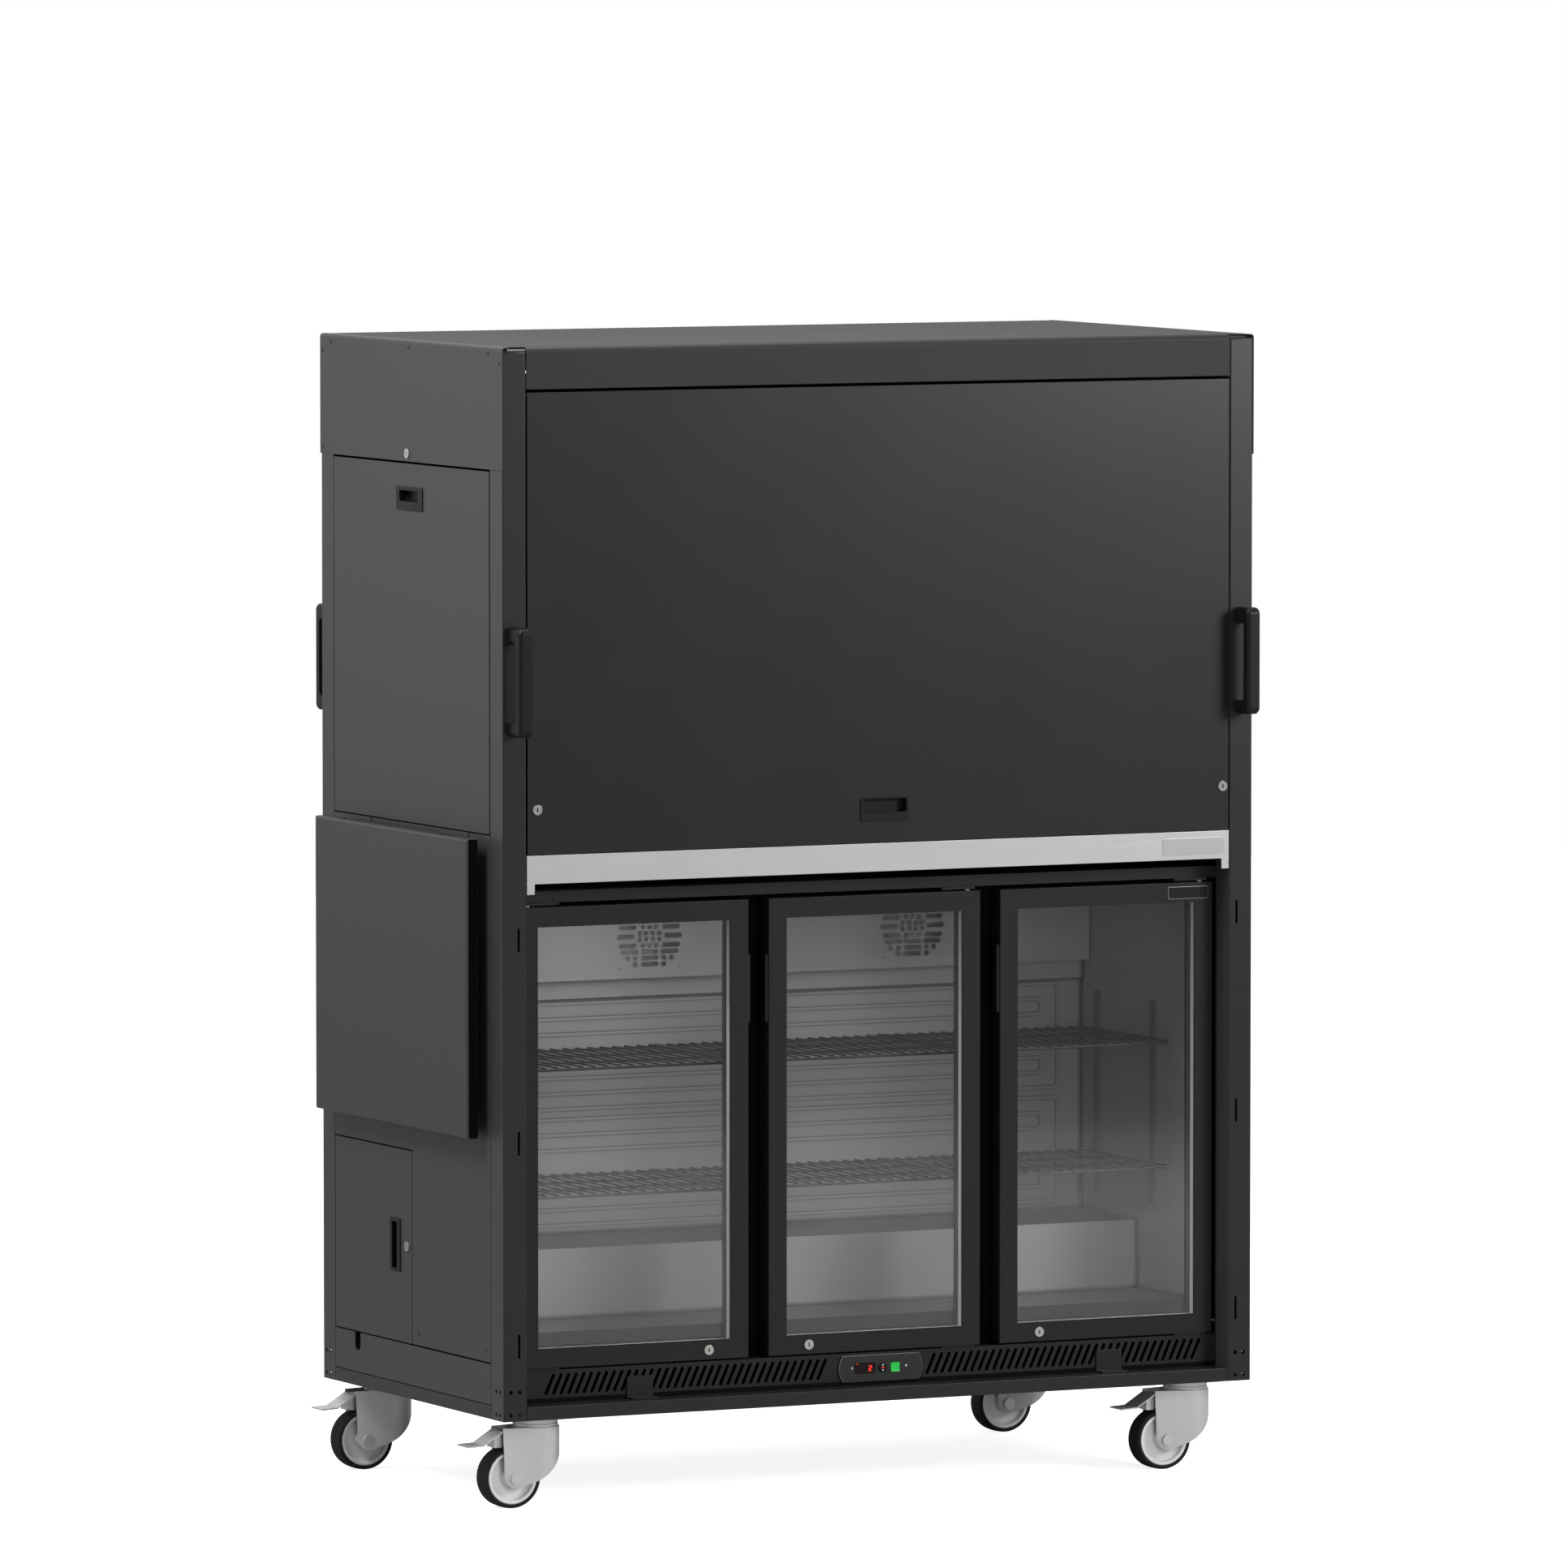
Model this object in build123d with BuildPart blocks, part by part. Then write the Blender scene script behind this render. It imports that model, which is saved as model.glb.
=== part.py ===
"""A mobile cocktail station: a steel cabinet on four braked casters, with a three-door bottle cooler,
a work compartment behind a front flap and a side door, a drop leaf and a service door.

Millimetres. X runs to the right, Y to the back and Z up. The origin is on the floor, under the
middle of the whole station, with the brake pedals of the left casters counted in.
"""

from build123d import *
from math import acos, atan2, cos, hypot, sin
import os

# Body
BODY_WIDTH = 1440
BODY_DEPTH = 750
BODY_HEIGHT = 1831
SHEET = 1.5
SIDE_PROUD = 1.5
SEAM = 0.3
RUNNING_FIT = 0.08
PANEL_GAP = 2.5
FOLD_DEPTH = 18
EDGE_RADIUS = 1.2

# Corner posts, and the punched slots and holes in their outer faces
POST_WIDTH = 44
POST_DEPTH = 51.8
POST_WALL = 2
POST_CAP = 12
POST_TOP_RADIUS = 8
POST_EDGE_RADIUS = 2
POST_SLOT_WIDTH = 4.5
POST_SLOT_LENGTH = 41
POST_SLOT_INSET = 29.4
POST_SLOT_LOW = 128.5
POST_SLOT_STEP = 347
POST_SLOTS = 3
POST_HOLE_RADIUS = 3.5
POST_HOLE_PITCH = 16
POST_HOLE_RISE = 39.5
POST_HOLE_INSET = 22
POST_HOLE_HEIGHT = 30.5

# Casters
CASTER_INSET_X = 92
CASTER_INSET_Y = 70
CASTER_TRAIL = 51
AXLE_DROP = 102.5
WHEEL_RADIUS = 53
WHEEL_WIDTH = 40
TYRE_DEPTH = 7
TYRE_SHOULDER = 4
RIM_WIDTH = 36
RIM_WALL = 5
RIM_WEB = 8
HUB_RADIUS = 15
HUB_CLEARANCE = 0.8
AXLE_RADIUS = 5
AXLE_HEAD_RADIUS = 10
AXLE_HEAD = 5
CASTER_PLATE_X = 104
CASTER_PLATE_Y = 84
CASTER_PLATE = 4
RACE_RADIUS = 39
RACE_DROP = 16
RACE_GROOVE = 2.5
KINGPIN_RADIUS = 6
KINGPIN_HEAD_RADIUS = 11
KINGPIN_HEAD = 4
CROWN_RADIUS = 41
FORK_WALL = 2.5
FORK_WIDTH = 50
FORK_TAIL = 21
FORK_NOSE_DROP = 54
NOSE_SHARE = 0.55
NOSE_DROP = 28
LOBE_SHARE = 0.7
FORK_LOBE_RADIUS = 17.5
PEDAL_PIVOT_BACK = 60
PEDAL_PIVOT_DROP = 29
PEDAL_PIN_RADIUS = 2.5
PEDAL_BARREL_RADIUS = 6
PEDAL_SHEET = 2.5
PEDAL_SLOPE_RUN = 35.5
PEDAL_SLOPE_DROP = 22
PEDAL_LIP = 29
PEDAL_LIP_DROP = 1.5
PEDAL_TOP_DROP = 21
PEDAL_WIDTH = 48
PEDAL_TONGUE_WIDTH = 43
SHOE_WIDTH = 30
SHOE_LENGTH = 15
SHOE_REACH = 12
SHOE_DROP = 50

# Places that follow from the sizes above
CASTER_HEIGHT = AXLE_DROP + WHEEL_RADIUS
PEDAL_REACH = CASTER_TRAIL + FORK_TAIL + PEDAL_SLOPE_RUN + PEDAL_LIP - CASTER_INSET_X
LEFT = (PEDAL_REACH - BODY_WIDTH - SIDE_PROUD) / 2
RIGHT = LEFT + BODY_WIDTH
FRONT = -BODY_DEPTH / 2
BACK = BODY_DEPTH / 2
BASE = CASTER_HEIGHT
TOP = BASE + BODY_HEIGHT
BAY_LEFT = LEFT + POST_WIDTH + 1
BAY_RIGHT = RIGHT - POST_WIDTH - 1
SIDE_FRONT = FRONT + POST_DEPTH
SIDE_BACK = BACK - POST_DEPTH
MIDDLE_X = (LEFT + RIGHT) / 2

# Base frame
RAIL_HEIGHT = 23.5
RAIL_WIDTH = 40
RAIL_WALL = 2
GUSSET = 6
GUSSET_X = 160
GUSSET_Y = 130
CROSS_RAILS = 2
CROSS_RAIL_STEP = 480

# Header and top
COVER_RADIUS = 10
HEADER_LOW = TOP - 72
HEADER_RETURN = 20
SIDE_HEADER_LOW = TOP - 209
SIDE_HEADER_RADIUS = 6
SIDE_HEADER_HOOK = 12

# Worktop and the levels of the panels
WORKTOP_TOP = BASE + 966
WORKTOP_APRON = 48.8
WORKTOP_RETURN = 12
WORKTOP_TAB_DROP = 18
WORKTOP_TAB_WIDTH = 15
UPPER_PANEL_LOW = BASE + 1000.5
LOWER_PANEL_TOP = BASE + 998
LOWER_PANEL_LOW = BASE + 97
SKIRT_TOP = BASE + 94
SKIRT_LOW = BASE + 25
SKIRT_NOTCH_WIDTH = 23
SKIRT_NOTCH_HEIGHT = 31
SKIRT_NOTCH_FROM_BACK = 146
BACK_UPPER_LOW = BASE + 967.5
BACK_LOWER_TOP = BASE + 960

# Pivots of the flap and of both side doors, measured in from their outer faces
PIVOT_RADIUS = 2.5
PIVOT_LENGTH = 10
PIVOT_INSET = 4.5

# Front flap
FLAP_LOW = WORKTOP_TOP + 1.5
FLAP_TOP = HEADER_LOW - 5.5
FLAP_PIVOT_DROP = 4.5

# Upper side door
SIDE_DOOR_TOP = SIDE_HEADER_LOW - 4
SIDE_DOOR_PIVOT_RISE = 6.5
SIDE_DOOR_BACK = SIDE_BACK - 1.7
SIDE_DOOR_FRONT = SIDE_FRONT + 3.2

# Service door
SERVICE_FRONT = FRONT + 376
SERVICE_BACK = SIDE_BACK - 2.2
SERVICE_LOW = SKIRT_TOP + PANEL_GAP
SERVICE_TOP = BASE + 431
SERVICE_PIVOT_FROM_BACK = 4.4

# Drop leaf
LEAF_THICKNESS = 21
LEAF_STANDOFF = 20
LEAF_FRONT = FRONT + 59
LEAF_BACK = FRONT + 691
LEAF_TOP = BASE + 993
LEAF_LOW = BASE + 481
LEAF_PIVOT_DROP = 17
LEAF_EDGE_RADIUS = 5
LEAF_PIN_RADIUS = 2.5
LEAF_KNUCKLE_RADIUS = 5
LEAF_ARM = 8
LEAF_BRACKET = 2
LEAF_BRACKET_DROP = 25
LEAF_BRACKET_WIDTH = 70
LEAF_BRACKET_INSET = 114
LEAF_BLOCK = 8
LEAF_NOTCH_DEPTH = 9
LEAF_NOTCH_SIDE = 1

# Recessed pulls
PULL_PLATE = 2
PULL_DEPTH = 14
PULL_WALL = 1.5
PULL_RADIUS = 3

# Locks
LOCK_RIM_RADIUS = 8.75
LOCK_RIM = 2
LOCK_BARREL_RADIUS = 7
LOCK_LENGTH = 22
LOCK_CAM_LENGTH = 14
LOCK_CAM_WIDTH = 9
LOCK_CAM = 2
DOOR_LOCK_LENGTH = 20
HEADER_LOCK_CENTRE = (FRONT + 384.9, SIDE_HEADER_LOW + 13.6)
KEYWAY_WIDTH = 2
KEYWAY_LENGTH = 7
KEYWAY_DEPTH = 4

# Cooler cabinet and liner
CABINET_LEFT = LEFT + POST_WIDTH + 2
CABINET_RIGHT = RIGHT - POST_WIDTH - 2
CABINET_FRONT = FRONT + 88
CABINET_BACK = FRONT + 545
CABINET_LOW = BASE + RAIL_HEIGHT
CABINET_TOP = BASE + 901
CABINET_SKIN = 1.2
LINER_SIDE = 40
LINER_SKIN = 1
LINER_BACK = FRONT + 482
LINER_LOW = BASE + 140
LINER_TOP = BASE + 872
STEP_FRONT = FRONT + 266
STEP_TOP = BASE + 262
MULLION_WIDTH = 52
MULLION_DEPTH = 46
MACHINE_TOP = BASE + 78
LINER_LEFT = CABINET_LEFT + LINER_SIDE
LINER_RIGHT = CABINET_RIGHT - LINER_SIDE

# Embossed ribs on the liner's back wall
RIB_WIDTH = 5
RIB_HEIGHT = 1.5
RIB_INSET = 46
RIB_NEST = 33
RIB_CORNER = 12
RIB_LOOP_HEIGHT = 190
RIB_LOOP_LOWS = (BASE + 478, BASE + 275)
RIB_TONGUE_HEIGHT = 32
RIB_TONGUE_INSET = 27
BAND_LOW = BASE + 674
BAND_TOP = BASE + 706
BAND_PROUD = 6

# Evaporator cover and its fan grilles
EVAPORATOR_FRONT = FRONT + 446
EVAPORATOR_LOW = BASE + 708
EVAPORATOR_SIDE = 3
FAN_FROM_LEFT = 487
FAN_STEP = 513
FAN_HEIGHT = BASE + 781
FAN_HOLE_RADIUS = 4.6
FAN_SLOT_LENGTH = 34
FAN_SLOT_WIDTH = 8.5
FAN_HOLE_STEP = 12.6
FAN_FIRST_ROW = 5.2
FAN_ROW_STEP = 11

# Wire shelves and their supports
SHELF_FRONT = FRONT + 138
SHELF_BACK = FRONT + 470
SHELF_TOPS = (BASE + 371, BASE + 590)
SHELF_WIRE = 3
SHELF_FRAME = 6
SHELF_PITCH = 23.5
SHELF_THICKNESS = 4
SHELF_CROSS_BAR = 5
SHELF_GAP = 6
PILASTER_WIDTH = 20
PILASTER_DEPTH = 3
PILASTER_LOW = BASE + 295
PILASTER_TOP = BASE + 655
PILASTER_FROM_FRONT = (206, 418)
CLIP_REACH = 16
CLIP_HEIGHT = 14
CLIP_WIDTH = 12

# Cooler doors: the mullions between them, and the side that each is hinged on
DOOR_FRONT = FRONT + 43
DOOR_DEPTH = 36
DOOR_TOP = BASE + 874
DOOR_MARGIN_LEFT = 4.8
DOOR_MARGIN_RIGHT = 8.4
DOOR_SPACING = 38.4
MULLION_CENTRES = (CABINET_LEFT + 458, CABINET_RIGHT - 443.5)
DOOR_HINGED_LEFT = (True, False, False)
DOOR_STILE = 34.6
DOOR_EDGE_RADIUS = 1.5
GLASS_BITE = 8
GLASS_INSET = 4
PANE = 4
PANE_SPACE = 12
SPACER_WIDTH = 9
GASKET_INSET = 13
GASKET_WIDTH = 12
GASKET_DEPTH = 7.7
DOOR_PIVOT_INSET = 20
DOOR_PIVOT_BACK = 12
DOOR_PIN_RADIUS = 4
DOOR_PIN_LENGTH = 12
GRIP_REACH = 4.5
GRIP_DEPTH = 10
GRIP_LOW = BASE + 661
GRIP_TOP = BASE + 778
DOOR_LOCK_INSET = 76.5
DOOR_LOCK_RISE = 17

# Top rail, hinge plates, grille and clips below the doors
TOP_RAIL_LOW = BASE + 881
TOP_RAIL_FRONT = FRONT + 48
HINGE_PLATE_LENGTH = 63
HINGE_PLATE_TOP = 4
HINGE_PLATE_BOTTOM = 2.4
HINGE_PLATE_INSET = 8
GRILLE_FRONT = FRONT + 46
GRILLE_LOW = CABINET_LOW + CABINET_SKIN
GRILLE_TOP = BASE + 80
GRILLE_SHEET = 1.5
DOOR_LOW = GRILLE_TOP + HINGE_PLATE_BOTTOM + SEAM

# Control panel
BEZEL_LEFT = MIDDLE_X - 62
BEZEL_WIDTH = 161
BEZEL_LOW = BASE + 30
BEZEL_TOP = BASE + 76
BEZEL_BULGE = 7
BEZEL_THICKNESS = 4
BEZEL_EDGE = 1
BEZEL_RIGHT = BEZEL_LEFT + BEZEL_WIDTH
CONTROL_HEIGHT = BASE + 53
DISPLAY_LEFT = BEZEL_LEFT + 29.6
DISPLAY_WIDTH = 40.6
DISPLAY_HEIGHT = 20
DISPLAY_DEPTH = 12
DISPLAY_SUNK = 1
BUTTON_X = BEZEL_LEFT + 83.4
BUTTON_RADIUS = 8.6
BUTTON_PROUD = 2.5
BUTTON_LENGTH = 10
BUTTON_EDGE = 1
ROCKER_X = BEZEL_LEFT + 108.2
ROCKER_WIDTH = 16
ROCKER_HEIGHT = 16.4
ROCKER_DEPTH = 9
ROCKER_PROUD = 2
ROCKER_GAP = 0.6
ROCKER_PIVOT_DEPTH = 45
ROCKER_BORE_RADIUS = 1.2

# Slots of the grille panel, in a group on each side of the controls
GRILLE_SLOT_WIDTH = 6
GRILLE_SLOT_LENGTH = 39.5
GRILLE_SLOT_LEAN = 24.4
GRILLE_SLOT_PITCH = 14.4
GRILLE_SLOT_HEIGHT = BASE + 55
GRILLE_SLOT_REACH = 22
GRILLE_GROUPS = ((BAY_LEFT + 51.5, BEZEL_LEFT - 20), (BEZEL_RIGHT + 7.5, BAY_RIGHT - 29))

# Clips that hold the cooler's foot to the front rail
CLIP_PLATE = 3
CLIP_PLATE_WIDTH = 50
CLIP_PLATE_TOP = BASE + 62
CLIP_PLATE_CENTRES = (LEFT + 277.8, RIGHT - 256.6)
CLIP_PLATE_RADIUS = 5
CLIP_FOOT = 26

# Grab handles
HANDLE_INSET = 9
HANDLE_WIDTH = 26
HANDLE_REACH = 50
HANDLE_GRIP = 18
HANDLE_LOW = BASE + 1170.5
HANDLE_TOP = BASE + 1356.5
HANDLE_GAP_LOW = BASE + 1194
HANDLE_GAP_TOP = BASE + 1331
HANDLE_RADIUS = 12
HANDLE_GAP_RADIUS = 8
HANDLE_EDGE = 4

# Compressor
COMPRESSOR_X = MIDDLE_X + 380
COMPRESSOR_Y = FRONT + 400
COMPRESSOR_RADIUS = 80
COMPRESSOR_HEIGHT = 170
COMPRESSOR_DOME = 55
COMPRESSOR_WALL = 3
COMPRESSOR_FOOT = 3
COMPRESSOR_FOOT_REACH = 20

FRONT_PLANE = Plane.XZ.offset(-FRONT)
BACK_PLANE = Plane.XZ.offset(-BACK)
LEFT_PLANE = Plane.YZ.offset(LEFT)
RIGHT_PLANE = Plane.YZ.offset(RIGHT)

# The way from a plane into the body, along the plane's own normal
INTO_FRONT = -1
INTO_BACK = 1
INTO_LEFT = 1
INTO_RIGHT = -1


def rectangle(left, right, low, high, mode=Mode.ADD):
    """A rectangle between four sides, on the axes of the sketch that is being drawn."""
    with Locations(((left + right) / 2, (low + high) / 2)):
        Rectangle(right - left, high - low, mode=mode)


def block(left, right, front, back, low, high, mode=Mode.ADD):
    """A block between six faces."""
    with Locations(((left + right) / 2, (front + back) / 2, (low + high) / 2)):
        Box(right - left, back - front, high - low, mode=mode)


def rod(plane, centre, radius, start, end, mode=Mode.ADD):
    """A round bar about a point of a plane, from one distance along the plane's normal to another."""
    with BuildSketch(plane.offset(start)) as end_face:
        with Locations(centre):
            Circle(radius)
    extrude(end_face.sketch, amount=end - start, mode=mode)


def folded_panel(plane, into, left, right, low, high, depth=FOLD_DEPTH, edge=EDGE_RADIUS):
    """A sheet panel with its face on a plane and its four edges folded into the body."""
    with BuildSketch(plane) as face:
        rectangle(left, right, low, high)
        fillet(face.vertices(), edge)
    extrude(face.sketch, amount=into * depth)
    with BuildSketch(plane.offset(into * SHEET)) as hollow:
        rectangle(left + SHEET, right - SHEET, low + SHEET, high - SHEET)
    extrude(hollow.sketch, amount=into * (depth - SHEET), mode=Mode.SUBTRACT)


def round_over(plane, left, right, top, radius, length):
    """Rounds the two upper edges that run along a plane's normal."""
    with BuildSketch(plane) as corners:
        rectangle(left, left + radius, top - radius, top)
        rectangle(right - radius, right, top - radius, top)
        with Locations((left + radius, top - radius), (right - radius, top - radius)):
            Circle(radius, mode=Mode.SUBTRACT)
    extrude(corners.sketch, amount=length, mode=Mode.SUBTRACT)


def write(builder, name):
    """Labels a finished piece and writes it."""
    builder.part.label = name
    export_step(builder.part, f"parts/{name}.step")


os.makedirs("parts", exist_ok=True)

# Corner posts: four capped tubes, punched on both outer faces
with BuildPart() as corner_posts:
    post_top = TOP - 2 * SHEET
    for side, x_face, x_plane, x_into in (
        (1, LEFT, LEFT_PLANE, INTO_LEFT),
        (-1, RIGHT, RIGHT_PLANE, INTO_RIGHT),
    ):
        for end, y_face, y_plane, y_into in (
            (1, FRONT, FRONT_PLANE, INTO_FRONT),
            (-1, BACK, BACK_PLANE, INTO_BACK),
        ):
            centre = (x_face + side * POST_WIDTH / 2, y_face + end * POST_DEPTH / 2)
            with BuildSketch(Plane.XY.offset(BASE)) as outer:
                with Locations(centre):
                    RectangleRounded(POST_WIDTH, POST_DEPTH, POST_EDGE_RADIUS)
            extrude(outer.sketch, amount=post_top - BASE)
            with BuildSketch(Plane.XY.offset(BASE)) as bore:
                with Locations(centre):
                    Rectangle(POST_WIDTH - 2 * POST_WALL, POST_DEPTH - 2 * POST_WALL)
            extrude(bore.sketch, amount=post_top - BASE - POST_CAP, mode=Mode.SUBTRACT)
            hole_y = y_face + end * POST_HOLE_INSET
            hole_x = x_face + side * POST_HOLE_INSET
            hole_z = BASE + POST_HOLE_HEIGHT
            with BuildSketch(y_plane) as front_holes:
                with Locations((hole_x, hole_z)):
                    with GridLocations(POST_HOLE_PITCH, POST_HOLE_RISE, 2, 2):
                        Circle(POST_HOLE_RADIUS)
            extrude(front_holes.sketch, amount=2 * y_into * POST_WALL, mode=Mode.SUBTRACT)
            with BuildSketch(x_plane) as side_holes:
                with Locations((hole_y, hole_z)):
                    with GridLocations(POST_HOLE_PITCH, POST_HOLE_RISE, 2, 2):
                        Circle(POST_HOLE_RADIUS)
            extrude(side_holes.sketch, amount=2 * x_into * POST_WALL, mode=Mode.SUBTRACT)
            with BuildSketch(y_plane) as slots:
                for step in range(POST_SLOTS):
                    slot_height = BASE + POST_SLOT_LOW + step * POST_SLOT_STEP
                    with Locations((x_face + side * POST_SLOT_INSET, slot_height)):
                        SlotOverall(POST_SLOT_LENGTH, POST_SLOT_WIDTH, rotation=90)
            extrude(slots.sketch, amount=2 * y_into * POST_WALL, mode=Mode.SUBTRACT)
    round_over(LEFT_PLANE, FRONT, BACK, post_top, POST_TOP_RADIUS, BODY_WIDTH)
    round_over(FRONT_PLANE, LEFT, RIGHT, post_top, SIDE_HEADER_RADIUS - SHEET, -BODY_DEPTH)
write(corner_posts, "corner_posts")

# Base frame: channel rails between the posts, joined by a gusset over each caster
with BuildPart() as base_frame:
    with BuildSketch(Plane.XY.offset(BASE)) as ring:
        rectangle(LEFT, RIGHT, FRONT, BACK)
        rectangle(
            LEFT + RAIL_WIDTH, RIGHT - RAIL_WIDTH, FRONT + RAIL_WIDTH, BACK - RAIL_WIDTH, mode=Mode.SUBTRACT,
        )
        with Locations((MIDDLE_X, 0)):
            with GridLocations(CROSS_RAIL_STEP, 0, CROSS_RAILS, 1):
                Rectangle(RAIL_WIDTH, BODY_DEPTH)
    extrude(ring.sketch, amount=RAIL_HEIGHT)
    with BuildSketch(Plane.XY.offset(BASE)) as channel:
        rectangle(LEFT + RAIL_WALL, RIGHT - RAIL_WALL, FRONT + RAIL_WALL, BACK - RAIL_WALL)
        inner = RAIL_WIDTH - RAIL_WALL
        rectangle(LEFT + inner, RIGHT - inner, FRONT + inner, BACK - inner, mode=Mode.SUBTRACT)
        with Locations((MIDDLE_X, 0)):
            with GridLocations(CROSS_RAIL_STEP, 0, CROSS_RAILS, 1):
                Rectangle(RAIL_WIDTH - 2 * RAIL_WALL, BODY_DEPTH - 2 * RAIL_WALL)
    extrude(channel.sketch, amount=RAIL_HEIGHT - RAIL_WALL, mode=Mode.SUBTRACT)
    with BuildSketch(Plane.XY.offset(BASE)) as gussets:
        with Locations((MIDDLE_X, 0)):
            with GridLocations(BODY_WIDTH - GUSSET_X, BODY_DEPTH - GUSSET_Y, 2, 2):
                Rectangle(GUSSET_X, GUSSET_Y)
    extrude(gussets.sketch, amount=GUSSET)
    with BuildSketch(Plane.XY.offset(BASE)) as corners:
        with Locations((MIDDLE_X, 0)):
            with GridLocations(BODY_WIDTH - POST_WIDTH, BODY_DEPTH - POST_DEPTH, 2, 2):
                Rectangle(POST_WIDTH, POST_DEPTH)
    extrude(corners.sketch, amount=RAIL_HEIGHT, mode=Mode.SUBTRACT)
write(base_frame, "base_frame")

# Top cover: one sheet, bent down over both long edges, and joggled down under the side panels' hooks
with BuildPart() as top_cover:
    cover_top = TOP
    joggle = SIDE_HEADER_HOOK + SEAM
    with BuildSketch(Plane.YZ.offset(BAY_LEFT)) as cover_profile:
        rectangle(FRONT, BACK, HEADER_LOW, cover_top)
        fillet(cover_profile.vertices().group_by(Axis.Y)[-1], COVER_RADIUS)
    extrude(cover_profile.sketch, amount=BAY_RIGHT - BAY_LEFT)
    with BuildSketch(Plane.YZ.offset(BAY_LEFT)) as cover_hollow:
        rectangle(FRONT + SHEET, BACK - SHEET, HEADER_LOW + SHEET, cover_top - SHEET)
        fillet(cover_hollow.vertices().group_by(Axis.Y)[-1], COVER_RADIUS - SHEET)
        rectangle(FRONT + HEADER_RETURN, BACK - HEADER_RETURN, HEADER_LOW, HEADER_LOW + 2 * SHEET)
    extrude(cover_hollow.sketch, amount=BAY_RIGHT - BAY_LEFT, mode=Mode.SUBTRACT)
    flat_front = FRONT + COVER_RADIUS
    flat_back = BACK - COVER_RADIUS
    hem = SIDE_HEADER_RADIUS - SHEET
    under = cover_top - SHEET
    block(LEFT + joggle, BAY_LEFT, flat_front, flat_back, under, cover_top)
    block(BAY_RIGHT, RIGHT - joggle, flat_front, flat_back, under, cover_top)
    block(LEFT + hem, LEFT + joggle + SHEET, flat_front, flat_back, under - SHEET, under)
    block(RIGHT - joggle - SHEET, RIGHT - hem, flat_front, flat_back, under - SHEET, under)
write(top_cover, "top_cover")


def side_header(outer_face, outward):
    """The panel beside the header, bent over the top cover, standing proud of the side."""
    with BuildSketch(Plane.XZ.offset(-FRONT + SIDE_PROUD)) as profile:
        far = outer_face - outward * (SIDE_PROUD + SIDE_HEADER_HOOK)
        rectangle(min(outer_face, far), max(outer_face, far), SIDE_HEADER_LOW, TOP)
        outer_corner = profile.vertices().group_by(Axis.Y)[-1].sort_by(Axis.X)[0 if outward < 0 else -1]
        fillet(outer_corner, SIDE_HEADER_RADIUS)
    extrude(profile.sketch, amount=-(BODY_DEPTH + 2 * SIDE_PROUD))
    with BuildSketch(Plane.XZ.offset(-FRONT + SIDE_PROUD)) as hollow:
        inner = outer_face - outward * SIDE_PROUD
        rectangle(min(inner, far), max(inner, far), SIDE_HEADER_LOW, TOP - SHEET)
        inner_corner = hollow.vertices().group_by(Axis.Y)[-1].sort_by(Axis.X)[0 if outward < 0 else -1]
        fillet(inner_corner, SIDE_HEADER_RADIUS - SHEET)
    extrude(hollow.sketch, amount=-(BODY_DEPTH + 2 * SIDE_PROUD), mode=Mode.SUBTRACT)


def skirt(plane, into):
    """The low panel under the side, with the notch that a cable leaves by."""
    folded_panel(plane, into, SIDE_FRONT + SEAM, SIDE_BACK - SEAM, SKIRT_LOW, SKIRT_TOP)
    with BuildSketch(plane) as notch:
        middle = BACK - SKIRT_NOTCH_FROM_BACK
        half = SKIRT_NOTCH_WIDTH / 2
        rectangle(middle - half, middle + half, SKIRT_TOP - SKIRT_NOTCH_HEIGHT, SKIRT_TOP + SEAM)
        fillet(notch.vertices().group_by(Axis.Y)[0], half - SHEET)
    extrude(notch.sketch, amount=into * FOLD_DEPTH, mode=Mode.SUBTRACT)


# Left side panels: header panel, lower panel round the service door, and skirt
with BuildPart() as left_side_panels:
    side_header(LEFT - SIDE_PROUD, -1)
    folded_panel(LEFT_PLANE, INTO_LEFT, SIDE_FRONT + SEAM, SIDE_BACK - SEAM, LOWER_PANEL_LOW, LOWER_PANEL_TOP)
    service_edge = SERVICE_FRONT - PANEL_GAP
    service_head = SERVICE_TOP + PANEL_GAP
    block(
        LEFT, LEFT + FOLD_DEPTH, service_edge - SHEET, SIDE_BACK - SEAM,
        LOWER_PANEL_LOW, service_head + SHEET,
    )
    block(LEFT, LEFT + FOLD_DEPTH, service_edge, SIDE_BACK, LOWER_PANEL_LOW, service_head, mode=Mode.SUBTRACT)
    skirt(LEFT_PLANE, INTO_LEFT)
    rod(LEFT_PLANE, HEADER_LOCK_CENTRE, LOCK_BARREL_RADIUS + RUNNING_FIT, -SIDE_PROUD, 0, mode=Mode.SUBTRACT)
write(left_side_panels, "left_side_panels")

# Right side panels: header panel, two fixed panels and skirt
with BuildPart() as right_side_panels:
    side_header(RIGHT + SIDE_PROUD, 1)
    for low, high in ((UPPER_PANEL_LOW, SIDE_DOOR_TOP), (LOWER_PANEL_LOW, LOWER_PANEL_TOP)):
        folded_panel(RIGHT_PLANE, INTO_RIGHT, SIDE_FRONT + SEAM, SIDE_BACK - SEAM, low, high)
    skirt(RIGHT_PLANE, INTO_RIGHT)
write(right_side_panels, "right_side_panels")

# Back panels: upper panel, lower panel and skirt
with BuildPart() as back_panels:
    for low, high in ((BACK_UPPER_LOW, FLAP_TOP), (LOWER_PANEL_LOW, BACK_LOWER_TOP), (SKIRT_LOW, SKIRT_TOP)):
        folded_panel(BACK_PLANE, INTO_BACK, LEFT + POST_WIDTH + SEAM, RIGHT - POST_WIDTH - SEAM, low, high)
write(back_panels, "back_panels")

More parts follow.
